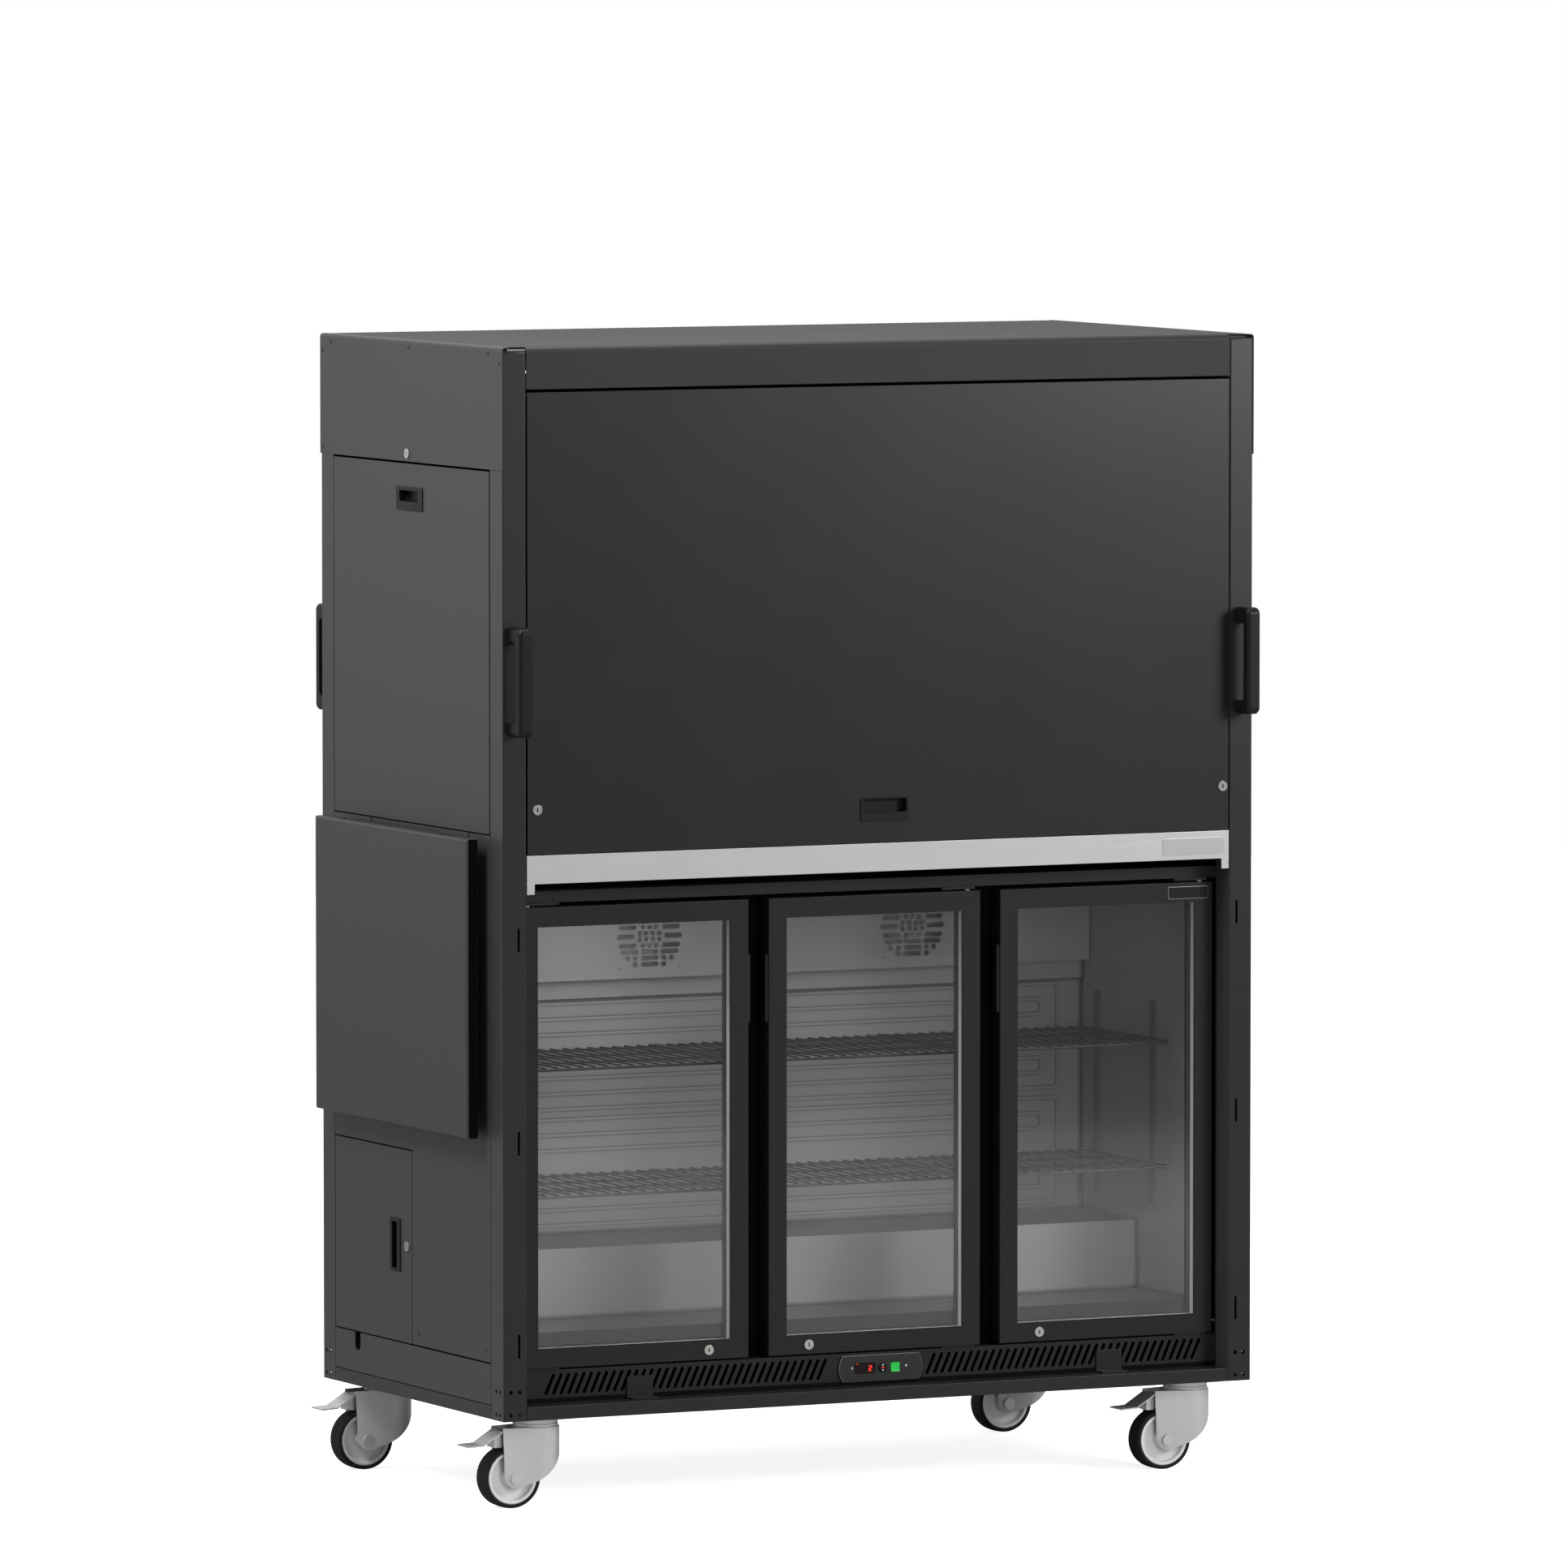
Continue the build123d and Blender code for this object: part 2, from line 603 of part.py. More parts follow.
# Worktop: one stainless sheet with a front apron, filling the body between its panels
with BuildPart() as worktop:
    clear = FOLD_DEPTH + SEAM
    with BuildSketch(Plane.XY.offset(WORKTOP_TOP - SHEET)) as deck:
        rectangle(BAY_LEFT, BAY_RIGHT, FRONT, BACK - clear)
        rectangle(LEFT + clear, RIGHT - clear, SIDE_FRONT + SEAM, SIDE_BACK - SEAM)
    extrude(deck.sketch, amount=SHEET)
    apron_low = WORKTOP_TOP - WORKTOP_APRON
    block(BAY_LEFT, BAY_RIGHT, FRONT, FRONT + SHEET, apron_low, WORKTOP_TOP)
    block(BAY_LEFT, BAY_RIGHT, FRONT, FRONT + WORKTOP_RETURN, apron_low, apron_low + SHEET)
    tab_low = apron_low - WORKTOP_TAB_DROP
    block(BAY_LEFT, BAY_LEFT + WORKTOP_TAB_WIDTH, FRONT, FRONT + SHEET, tab_low, apron_low)
    block(BAY_RIGHT - WORKTOP_TAB_WIDTH, BAY_RIGHT, FRONT, FRONT + SHEET, tab_low, apron_low)
write(worktop, "worktop")


def door_left(number):
    """The left edge of a cooler door."""
    if number == 0:
        return CABINET_LEFT + DOOR_MARGIN_LEFT
    return MULLION_CENTRES[number - 1] + DOOR_SPACING / 2


def door_right(number):
    """The right edge of a cooler door."""
    if number == len(MULLION_CENTRES):
        return CABINET_RIGHT - DOOR_MARGIN_RIGHT
    return MULLION_CENTRES[number] - DOOR_SPACING / 2


# Cooler cabinet: a painted steel box, open to the bays and to the machine space under them
with BuildPart() as cooler_cabinet:
    skin = CABINET_SKIN
    block(CABINET_LEFT, CABINET_RIGHT, CABINET_FRONT, CABINET_BACK, CABINET_LOW, CABINET_TOP)
    block(
        CABINET_LEFT + skin, CABINET_RIGHT - skin, CABINET_FRONT + skin, CABINET_BACK - skin,
        CABINET_LOW + skin, CABINET_TOP - skin, mode=Mode.SUBTRACT,
    )
    block(
        LINER_LEFT, LINER_RIGHT, CABINET_FRONT, CABINET_FRONT + skin,
        LINER_LOW, LINER_TOP, mode=Mode.SUBTRACT,
    )
    block(
        LINER_LEFT, LINER_RIGHT, CABINET_FRONT, CABINET_FRONT + skin,
        CABINET_LOW + skin, MACHINE_TOP, mode=Mode.SUBTRACT,
    )
    block(CABINET_LEFT, CABINET_RIGHT, GRILLE_FRONT, CABINET_FRONT, CABINET_LOW, CABINET_LOW + skin)
    for centre in MULLION_CENTRES:
        half = MULLION_WIDTH / 2
        mullion_back = CABINET_FRONT + MULLION_DEPTH
        block(centre - half, centre + half, CABINET_FRONT, mullion_back, LINER_LOW, LINER_TOP)
write(cooler_cabinet, "cooler_cabinet")


def rib_loop(height, length, width, corner):
    """One embossed loop of the liner's back wall, about the middle of the cooler."""
    with Locations(((LINER_LEFT + LINER_RIGHT) / 2, height)):
        RectangleRounded(length, width, corner)
        inner_length, inner_width = length - 2 * RIB_WIDTH, width - 2 * RIB_WIDTH
        RectangleRounded(inner_length, inner_width, corner - RIB_WIDTH, mode=Mode.SUBTRACT)


# Cooler liner: a tub with a raised step over the machine space and embossed ribs on its back wall
with BuildPart() as cooler_liner:
    tub_front = CABINET_FRONT + CABINET_SKIN
    skin = LINER_SKIN
    with BuildSketch(Plane.YZ.offset(LINER_LEFT - skin)) as tub_profile:
        rectangle(tub_front, LINER_BACK + skin, LINER_LOW - skin, LINER_TOP + skin)
        rectangle(STEP_FRONT + skin, LINER_BACK + skin, LINER_LOW - skin, STEP_TOP - skin, mode=Mode.SUBTRACT)
    extrude(tub_profile.sketch, amount=LINER_RIGHT - LINER_LEFT + 2 * skin)
    with BuildSketch(Plane.YZ.offset(LINER_LEFT)) as tub_hollow:
        rectangle(tub_front, LINER_BACK, LINER_LOW, LINER_TOP)
        rectangle(STEP_FRONT, LINER_BACK, LINER_LOW, STEP_TOP, mode=Mode.SUBTRACT)
    extrude(tub_hollow.sketch, amount=LINER_RIGHT - LINER_LEFT, mode=Mode.SUBTRACT)
    for centre in MULLION_CENTRES:
        half = MULLION_WIDTH / 2
        back = CABINET_FRONT + MULLION_DEPTH
        for low, high in ((LINER_LOW - skin, LINER_LOW), (LINER_TOP, LINER_TOP + skin)):
            block(centre - half, centre + half, tub_front, back, low, high, mode=Mode.SUBTRACT)
    block(LINER_LEFT, LINER_RIGHT, LINER_BACK - BAND_PROUD, LINER_BACK, BAND_LOW, BAND_TOP)
    with BuildSketch(Plane.XZ.offset(-LINER_BACK)) as ribs:
        span = LINER_RIGHT - LINER_LEFT - 2 * RIB_INSET
        tongue_rise = RIB_LOOP_HEIGHT / 2 - RIB_TONGUE_INSET - RIB_TONGUE_HEIGHT / 2
        for low in RIB_LOOP_LOWS:
            middle = low + RIB_LOOP_HEIGHT / 2
            rib_loop(middle, span, RIB_LOOP_HEIGHT, RIB_CORNER)
            for rise in (-tongue_rise, tongue_rise):
                rib_loop(middle + rise, span - 2 * RIB_NEST, RIB_TONGUE_HEIGHT, RIB_CORNER)
    extrude(ribs.sketch, amount=RIB_HEIGHT)
write(cooler_liner, "cooler_liner")


def fan_grille():
    """The slots and holes in front of one evaporator fan, alike above and below its middle."""
    for row, slot_shifts, hole_shifts in (
        (0, (), (-1.5, -0.5, 0.5, 1.5)),
        (1, (-3.3, 3.3), (-1, 0, 1)),
        (2, (-3.05, 0, 3.05), ()),
        (3, (0,), (-3.35, -2.2, 2.2, 3.35)),
        (4, (0,), (-2.2, 2.2)),
    ):
        rise = FAN_FIRST_ROW + row * FAN_ROW_STEP
        for z in (rise, -rise):
            for shift in slot_shifts:
                with Locations((shift * FAN_HOLE_STEP, z)):
                    SlotOverall(FAN_SLOT_LENGTH, FAN_SLOT_WIDTH)
            for shift in hole_shifts:
                with Locations((shift * FAN_HOLE_STEP, z)):
                    Circle(FAN_HOLE_RADIUS)
    for shift in (-3.6, 3.6):
        with Locations((shift * FAN_HOLE_STEP, 0)):
            SlotOverall(FAN_SLOT_LENGTH, FAN_SLOT_WIDTH)


# Evaporator cover: a sheet across the top of the back wall, with a grille before each fan
with BuildPart() as evaporator_cover:
    cover_left = LINER_LEFT + EVAPORATOR_SIDE
    cover_right = LINER_RIGHT - EVAPORATOR_SIDE
    block(cover_left, cover_right, EVAPORATOR_FRONT, LINER_BACK, EVAPORATOR_LOW, LINER_TOP)
    block(
        cover_left, cover_right, EVAPORATOR_FRONT + SHEET, LINER_BACK,
        EVAPORATOR_LOW + SHEET, LINER_TOP, mode=Mode.SUBTRACT,
    )
    with BuildSketch(Plane.XZ.offset(-EVAPORATOR_FRONT)) as grilles:
        for number in range(2):
            with Locations((LEFT + FAN_FROM_LEFT + number * FAN_STEP, FAN_HEIGHT)):
                fan_grille()
    extrude(grilles.sketch, amount=-SHEET, mode=Mode.SUBTRACT)
write(evaporator_cover, "evaporator_cover")

# Wire shelves: three to a level, wires running front to back over two cross bars
shelf_ends = [LINER_LEFT + PILASTER_DEPTH, *MULLION_CENTRES, LINER_RIGHT - PILASTER_DEPTH]
with BuildPart() as wire_shelves:
    for shelf_top in SHELF_TOPS:
        for start, stop in zip(shelf_ends, shelf_ends[1:]):
            left = start + SHELF_GAP / 2
            right = stop - SHELF_GAP / 2
            with BuildSketch(Plane.XY.offset(shelf_top - SHELF_THICKNESS)) as grid:
                rectangle(left, right, SHELF_FRONT, SHELF_BACK)
                count = int((right - left - 2 * SHELF_FRAME) // SHELF_PITCH)
                pitch = (right - left - 2 * SHELF_FRAME + SHELF_WIRE) / count
                with Locations(((left + right) / 2, (SHELF_FRONT + SHELF_BACK) / 2)):
                    with GridLocations(pitch, 0, count, 1):
                        gap_length = SHELF_BACK - SHELF_FRONT - 2 * SHELF_FRAME
                        Rectangle(pitch - SHELF_WIRE, gap_length, mode=Mode.SUBTRACT)
            extrude(grid.sketch, amount=SHELF_THICKNESS)
            for share in (1 / 3, 2 / 3):
                bar = SHELF_FRONT + share * (SHELF_BACK - SHELF_FRONT)
                bar_top = shelf_top - SHELF_THICKNESS
                block(left, right, bar, bar + SHELF_CROSS_BAR, bar_top - SHELF_WIRE, bar_top)
write(wire_shelves, "wire_shelves")

# Shelf supports: slotted strips on both end walls, with wedge clips, and pegs at the mullions
with BuildPart() as shelf_supports:
    for wall, inward in ((LINER_LEFT, 1), (LINER_RIGHT, -1)):
        for from_front in PILASTER_FROM_FRONT:
            middle = FRONT + from_front
            strip = sorted((wall, wall + inward * PILASTER_DEPTH))
            half = PILASTER_WIDTH / 2
            block(strip[0], strip[1], middle - half, middle + half, PILASTER_LOW, PILASTER_TOP)
            for shelf_top in SHELF_TOPS:
                seat = shelf_top - SHELF_THICKNESS
                with BuildSketch(Plane.XZ.offset(-middle + CLIP_WIDTH / 2)) as wedge:
                    with BuildLine():
                        root = wall + inward * PILASTER_DEPTH
                        tip = root + inward * CLIP_REACH
                        Polyline((root, seat), (tip, seat), (root, seat - CLIP_HEIGHT), close=True)
                    make_face()
                extrude(wedge.sketch, amount=-CLIP_WIDTH)
    for centre in MULLION_CENTRES:
        for shelf_top in SHELF_TOPS:
            seat = shelf_top - SHELF_THICKNESS
            peg_low = seat - CLIP_WIDTH / 2
            front_wall = CABINET_FRONT + MULLION_DEPTH
            left, right = centre - CLIP_REACH, centre + CLIP_REACH
            block(left, right, front_wall, SHELF_FRONT + SHELF_FRAME, peg_low, seat)
            block(left, right, SHELF_BACK - SHELF_FRAME, LINER_BACK, peg_low, seat)
write(shelf_supports, "shelf_supports")

# Top rail of the cooler: an angle across the front, over the doors
with BuildPart() as cooler_top_rail:
    block(BAY_LEFT, BAY_RIGHT, TOP_RAIL_FRONT, CABINET_FRONT, TOP_RAIL_LOW, CABINET_TOP)
    block(
        BAY_LEFT, BAY_RIGHT, TOP_RAIL_FRONT + SHEET, CABINET_FRONT,
        TOP_RAIL_LOW + SHEET, CABINET_TOP - SHEET, mode=Mode.SUBTRACT,
    )
write(cooler_top_rail, "cooler_top_rail")


def door_pivot_x(number):
    """Where a cooler door's pins stand, measured across the front."""
    if DOOR_HINGED_LEFT[number]:
        return door_left(number) + DOOR_PIVOT_INSET
    return door_right(number) - DOOR_PIVOT_INSET


# Hinge plates: one above and one below each cooler door, with the pins that the door turns on
with BuildPart() as door_hinge_plates:
    pin_y = DOOR_FRONT + DOOR_PIVOT_BACK
    for number in range(len(DOOR_HINGED_LEFT)):
        pin_x = door_pivot_x(number)
        inward = 1 if DOOR_HINGED_LEFT[number] else -1
        near = pin_x - inward * HINGE_PLATE_INSET
        sides = sorted((near, near + inward * HINGE_PLATE_LENGTH))
        block(*sides, DOOR_FRONT, CABINET_FRONT, TOP_RAIL_LOW - HINGE_PLATE_TOP, TOP_RAIL_LOW)
        block(*sides, DOOR_FRONT, CABINET_FRONT, GRILLE_TOP, GRILLE_TOP + HINGE_PLATE_BOTTOM)
        pin_low, pin_high = DOOR_TOP - DOOR_PIN_LENGTH, TOP_RAIL_LOW - HINGE_PLATE_TOP
        rod(Plane.XY, (pin_x, pin_y), DOOR_PIN_RADIUS, pin_low, pin_high)
        rod(Plane.XY, (pin_x, pin_y), DOOR_PIN_RADIUS, GRILLE_TOP, DOOR_LOW + DOOR_PIN_LENGTH)
write(door_hinge_plates, "door_hinge_plates")

# Grille panel: a folded sheet with two groups of leaning slots beside the control panel
with BuildPart() as grille_panel:
    block(BAY_LEFT, BAY_RIGHT, GRILLE_FRONT, CABINET_FRONT, GRILLE_LOW, GRILLE_TOP)
    block(
        BAY_LEFT, BAY_RIGHT, GRILLE_FRONT + GRILLE_SHEET, CABINET_FRONT,
        GRILLE_LOW + GRILLE_SHEET, GRILLE_TOP - GRILLE_SHEET, mode=Mode.SUBTRACT,
    )
    with BuildSketch(Plane.XZ.offset(-GRILLE_FRONT)) as louvres:
        for left, right in GRILLE_GROUPS:
            slots = round((right - left - GRILLE_SLOT_REACH) / GRILLE_SLOT_PITCH) + 1
            with Locations(((left + right) / 2, GRILLE_SLOT_HEIGHT)):
                with GridLocations(GRILLE_SLOT_PITCH, 0, slots, 1):
                    SlotOverall(GRILLE_SLOT_LENGTH, GRILLE_SLOT_WIDTH, rotation=90 - GRILLE_SLOT_LEAN)
    extrude(louvres.sketch, amount=-GRILLE_SHEET, mode=Mode.SUBTRACT)
    window = ROCKER_GAP
    block(
        DISPLAY_LEFT - window, ROCKER_X + ROCKER_WIDTH / 2 + window,
        GRILLE_FRONT, GRILLE_FRONT + GRILLE_SHEET,
        CONTROL_HEIGHT - DISPLAY_HEIGHT / 2 - window, CONTROL_HEIGHT + DISPLAY_HEIGHT / 2 + window,
        mode=Mode.SUBTRACT,
    )
write(grille_panel, "grille_panel")

# Control bezel: a raised plate with bowed ends and a window for each control
with BuildPart() as control_bezel:
    with BuildSketch(Plane.XZ.offset(-GRILLE_FRONT)) as bezel_outline:
        with BuildLine():
            Line((BEZEL_LEFT + BEZEL_BULGE, BEZEL_LOW), (BEZEL_RIGHT - BEZEL_BULGE, BEZEL_LOW))
            ThreePointArc(
                (BEZEL_RIGHT - BEZEL_BULGE, BEZEL_LOW), (BEZEL_RIGHT, (BEZEL_LOW + BEZEL_TOP) / 2),
                (BEZEL_RIGHT - BEZEL_BULGE, BEZEL_TOP),
            )
            Line((BEZEL_RIGHT - BEZEL_BULGE, BEZEL_TOP), (BEZEL_LEFT + BEZEL_BULGE, BEZEL_TOP))
            ThreePointArc(
                (BEZEL_LEFT + BEZEL_BULGE, BEZEL_TOP), (BEZEL_LEFT, (BEZEL_LOW + BEZEL_TOP) / 2),
                (BEZEL_LEFT + BEZEL_BULGE, BEZEL_LOW),
            )
        make_face()
    extrude(bezel_outline.sketch, amount=BEZEL_THICKNESS)
    chamfer(control_bezel.faces().sort_by(Axis.Y)[0].edges(), BEZEL_EDGE)
    with BuildSketch(Plane.XZ.offset(-GRILLE_FRONT)) as windows:
        rectangle(
            DISPLAY_LEFT, DISPLAY_LEFT + DISPLAY_WIDTH,
            CONTROL_HEIGHT - DISPLAY_HEIGHT / 2, CONTROL_HEIGHT + DISPLAY_HEIGHT / 2,
        )
        with Locations((BUTTON_X, CONTROL_HEIGHT)):
            Circle(BUTTON_RADIUS + SEAM)
        with Locations((ROCKER_X, CONTROL_HEIGHT)):
            Rectangle(ROCKER_WIDTH + 2 * ROCKER_GAP, ROCKER_HEIGHT + 2 * ROCKER_GAP)
    extrude(windows.sketch, amount=BEZEL_THICKNESS, mode=Mode.SUBTRACT)
write(control_bezel, "control_bezel")

# Control display, seated in the bezel's window
with BuildPart() as control_display:
    screen = GRILLE_FRONT - BEZEL_THICKNESS + DISPLAY_SUNK
    block(
        DISPLAY_LEFT, DISPLAY_LEFT + DISPLAY_WIDTH, screen, screen + DISPLAY_DEPTH,
        CONTROL_HEIGHT - DISPLAY_HEIGHT / 2, CONTROL_HEIGHT + DISPLAY_HEIGHT / 2,
    )
write(control_display, "control_display")

# Control button: a domed cap that slides into the bezel
with BuildPart() as control_button:
    button_front = GRILLE_FRONT - BEZEL_THICKNESS - BUTTON_PROUD
    with BuildSketch(Plane.XZ.offset(-button_front)) as cap:
        with Locations((BUTTON_X, CONTROL_HEIGHT)):
            Circle(BUTTON_RADIUS)
    extrude(cap.sketch, amount=-BUTTON_LENGTH)
    chamfer(control_button.edges().sort_by(Axis.Y)[0], BUTTON_EDGE)
write(control_button, "control_button")

# Rocker switch: a shallow V that tips about a level axis
with BuildPart() as rocker_switch:
    rocker_front = GRILLE_FRONT - BEZEL_THICKNESS - ROCKER_PROUD
    rocker_back = rocker_front + ROCKER_DEPTH
    half = ROCKER_HEIGHT / 2
    heel = half * 2 / 5
    with BuildSketch(Plane.YZ.offset(ROCKER_X - ROCKER_WIDTH / 2)) as rocker_profile:
        with BuildLine():
            Polyline(
                (rocker_front, CONTROL_HEIGHT + half), (rocker_front + ROCKER_PROUD, CONTROL_HEIGHT),
                (rocker_front, CONTROL_HEIGHT - half), (rocker_back, CONTROL_HEIGHT - heel),
                (rocker_back, CONTROL_HEIGHT + heel), close=True,
            )
        make_face()
    extrude(rocker_profile.sketch, amount=ROCKER_WIDTH)
    side = ROCKER_X - ROCKER_WIDTH / 2
    pivot = (FRONT + ROCKER_PIVOT_DEPTH, CONTROL_HEIGHT)
    rod(Plane.YZ, pivot, ROCKER_BORE_RADIUS, side, side + ROCKER_WIDTH, mode=Mode.SUBTRACT)
write(rocker_switch, "rocker_switch")

# Retaining clips: bent straps that stand on the front rail and hold the cooler's foot
with BuildPart() as retaining_clips:
    for centre in CLIP_PLATE_CENTRES:
        clip_back = GRILLE_FRONT - SEAM
        foot_low = BASE + RAIL_HEIGHT
        left, right = centre - CLIP_PLATE_WIDTH / 2, centre + CLIP_PLATE_WIDTH / 2
        with BuildSketch(Plane.XZ.offset(-clip_back)) as strap:
            rectangle(left, right, foot_low, CLIP_PLATE_TOP)
            fillet(strap.vertices().group_by(Axis.Y)[-1], CLIP_PLATE_RADIUS)
        extrude(strap.sketch, amount=CLIP_PLATE)
        block(left, right, clip_back - CLIP_FOOT, clip_back, foot_low, foot_low + CLIP_PLATE)
write(retaining_clips, "retaining_clips")

# Grab handles: a cast bow on each post, front and back
with BuildPart() as grab_handles:
    for x_low in (LEFT + HANDLE_INSET, RIGHT - HANDLE_INSET - HANDLE_WIDTH):
        for y_face, outward in ((FRONT, -1), (BACK, 1)):
            with BuildSketch(Plane.YZ.offset(x_low)) as bow:
                tip = y_face + outward * HANDLE_REACH
                rectangle(min(y_face, tip), max(y_face, tip), HANDLE_LOW, HANDLE_TOP)
                fillet(bow.vertices().group_by(Axis.X)[0 if outward < 0 else -1], HANDLE_RADIUS)
            extrude(bow.sketch, amount=HANDLE_WIDTH)
            with BuildSketch(Plane.YZ.offset(x_low)) as finger_gap:
                grip = tip - outward * HANDLE_GRIP
                rectangle(min(y_face, grip), max(y_face, grip), HANDLE_GAP_LOW, HANDLE_GAP_TOP)
                fillet(finger_gap.vertices().group_by(Axis.X)[0 if outward < 0 else -1], HANDLE_GAP_RADIUS)
            extrude(finger_gap.sketch, amount=HANDLE_WIDTH, mode=Mode.SUBTRACT)
            long_edges = grab_handles.edges().filter_by(Axis.Z).filter_by_position(
                Axis.Y, tip - SEAM, tip + SEAM
            ).filter_by_position(Axis.X, x_low - SEAM, x_low + HANDLE_WIDTH + SEAM)
            chamfer(long_edges, HANDLE_EDGE)
write(grab_handles, "grab_handles")

# Compressor: a pot on a foot plate, in the machine space under the liner's step
with BuildPart() as compressor:
    foot_low = CABINET_LOW + CABINET_SKIN
    foot_top = foot_low + COMPRESSOR_FOOT
    for inset, mode in ((0, Mode.ADD), (COMPRESSOR_WALL, Mode.SUBTRACT)):
        with BuildSketch(Plane.XZ.offset(-COMPRESSOR_Y)) as pot:
            edge = COMPRESSOR_X + COMPRESSOR_RADIUS - inset
            rectangle(COMPRESSOR_X, edge, foot_top, foot_low + COMPRESSOR_HEIGHT - inset)
            fillet(pot.vertices().group_by(Axis.Y)[-1].sort_by(Axis.X)[-1], COMPRESSOR_DOME - inset)
        revolve(pot.sketch, axis=Axis((COMPRESSOR_X, COMPRESSOR_Y, 0), (0, 0, 1)), mode=mode)
    reach = COMPRESSOR_RADIUS + COMPRESSOR_FOOT_REACH
    block(
        COMPRESSOR_X - reach, COMPRESSOR_X + reach, COMPRESSOR_Y - COMPRESSOR_RADIUS,
        COMPRESSOR_Y + COMPRESSOR_RADIUS, foot_low, foot_top,
    )
    Hole(COMPRESSOR_RADIUS - COMPRESSOR_WALL)
write(compressor, "compressor")

# Fixed hinge parts: pins of the flap and both side doors, and the brackets of the drop leaf
flap_pivot = (FRONT + PIVOT_INSET, FLAP_TOP - FLAP_PIVOT_DROP)
side_door_pivot = (LEFT + PIVOT_INSET, UPPER_PANEL_LOW + SIDE_DOOR_PIVOT_RISE)
service_pivot = (LEFT + PIVOT_INSET, SERVICE_BACK - SERVICE_PIVOT_FROM_BACK)
leaf_pivot_x = LEFT - LEAF_STANDOFF
leaf_pivot_z = LEAF_TOP - LEAF_PIVOT_DROP
leaf_hinge_centres = (LEAF_FRONT + LEAF_BRACKET_INSET, LEAF_BACK - LEAF_BRACKET_INSET)
leaf_notch = LEAF_BRACKET_WIDTH - 2 * LEAF_BLOCK + 2 * LEAF_NOTCH_SIDE

with BuildPart() as panel_hinges:
    for post_face, inward in ((LEFT + POST_WIDTH, 1), (RIGHT - POST_WIDTH, -1)):
        rod(Plane.YZ, flap_pivot, PIVOT_RADIUS, post_face, post_face + inward * PIVOT_LENGTH)
    for post_face, inward in ((SIDE_FRONT, 1), (SIDE_BACK, -1)):
        rod(Plane.XZ, side_door_pivot, PIVOT_RADIUS, -post_face, -(post_face + inward * PIVOT_LENGTH))
    rod(Plane.XY, service_pivot, PIVOT_RADIUS, SERVICE_TOP - PIVOT_LENGTH, SERVICE_TOP + PANEL_GAP)
    rod(Plane.XY, service_pivot, PIVOT_RADIUS, SKIRT_TOP, SERVICE_LOW + PIVOT_LENGTH)
    for middle in leaf_hinge_centres:
        half = LEAF_BRACKET_WIDTH / 2
        plate_face = LEFT - LEAF_BRACKET
        plate_low = leaf_pivot_z - LEAF_BRACKET_DROP
        block(plate_face, LEFT, middle - half, middle + half, plate_low, LOWER_PANEL_TOP)
        arm_half = half - LEAF_BLOCK
        block(
            leaf_pivot_x, plate_face, middle - arm_half, middle + arm_half,
            leaf_pivot_z - LEAF_ARM / 2, leaf_pivot_z + LEAF_ARM / 2,
        )
        centre = (leaf_pivot_x, leaf_pivot_z)
        rod(Plane.XZ, centre, LEAF_KNUCKLE_RADIUS, -middle - arm_half, -middle + arm_half)
        rod(
            Plane.XZ, centre, LEAF_PIN_RADIUS + RUNNING_FIT, -middle - arm_half, -middle + arm_half,
            mode=Mode.SUBTRACT,
        )
write(panel_hinges, "panel_hinges")


def recessed_pull(name, plane, into, plate, opening):
    """A cup pull: a plate on the panel's face and a cup behind its opening."""
    with BuildPart() as pull:
        with BuildSketch(plane) as plate_outline:
            rectangle(*plate)
            fillet(plate_outline.vertices(), PULL_RADIUS)
        extrude(plate_outline.sketch, amount=-into * PULL_PLATE)
        left, right, low, high = opening
        wall = PULL_WALL
        with BuildSketch(plane) as cup:
            rectangle(left - wall, right + wall, low - wall, high + wall)
        extrude(cup.sketch, amount=into * PULL_DEPTH)
        with BuildSketch(plane.offset(-into * PULL_PLATE)) as mouth:
            rectangle(*opening)
            fillet(mouth.vertices(), PULL_RADIUS)
        extrude(mouth.sketch, amount=into * (PULL_PLATE + PULL_DEPTH - wall), mode=Mode.SUBTRACT)
    write(pull, name)


def pull_hole(plane, into, opening):
    """The hole in a panel that a pull's cup goes through."""
    left, right, low, high = opening
    room = PULL_WALL + SEAM
    with BuildSketch(plane) as hole:
        rectangle(left - room, right + room, low - room, high + room)
    extrude(hole.sketch, amount=into * SHEET, mode=Mode.SUBTRACT)


def lock_hole(plane, into, centre, depth=SHEET):
    """The round hole that a lock's barrel turns in."""
    rod(plane, centre, LOCK_BARREL_RADIUS + RUNNING_FIT, 0, into * depth, mode=Mode.SUBTRACT)


def lock(name, plane, into, centre, length=LOCK_LENGTH, cam_width=LOCK_CAM_WIDTH):
    """A key lock: rim, barrel with its keyway, and an upright cam at the inner end of a long one."""
    with BuildPart() as cylinder:
        rod(plane, centre, LOCK_RIM_RADIUS, -into * SEAM, -into * (SEAM + LOCK_RIM))
        rod(plane, centre, LOCK_BARREL_RADIUS, -into * SEAM, into * length)
        if cam_width:
            with BuildSketch(plane.offset(into * length)) as cam:
                with Locations((centre[0], centre[1] + (LOCK_CAM_LENGTH - cam_width) / 2)):
                    Rectangle(cam_width, LOCK_CAM_LENGTH)
            extrude(cam.sketch, amount=into * LOCK_CAM)
        with BuildSketch(plane.offset(-into * (SEAM + LOCK_RIM))) as keyway:
            with Locations(centre):
                Rectangle(KEYWAY_WIDTH, KEYWAY_LENGTH)
        extrude(keyway.sketch, amount=into * KEYWAY_DEPTH, mode=Mode.SUBTRACT)
    write(cylinder, name)


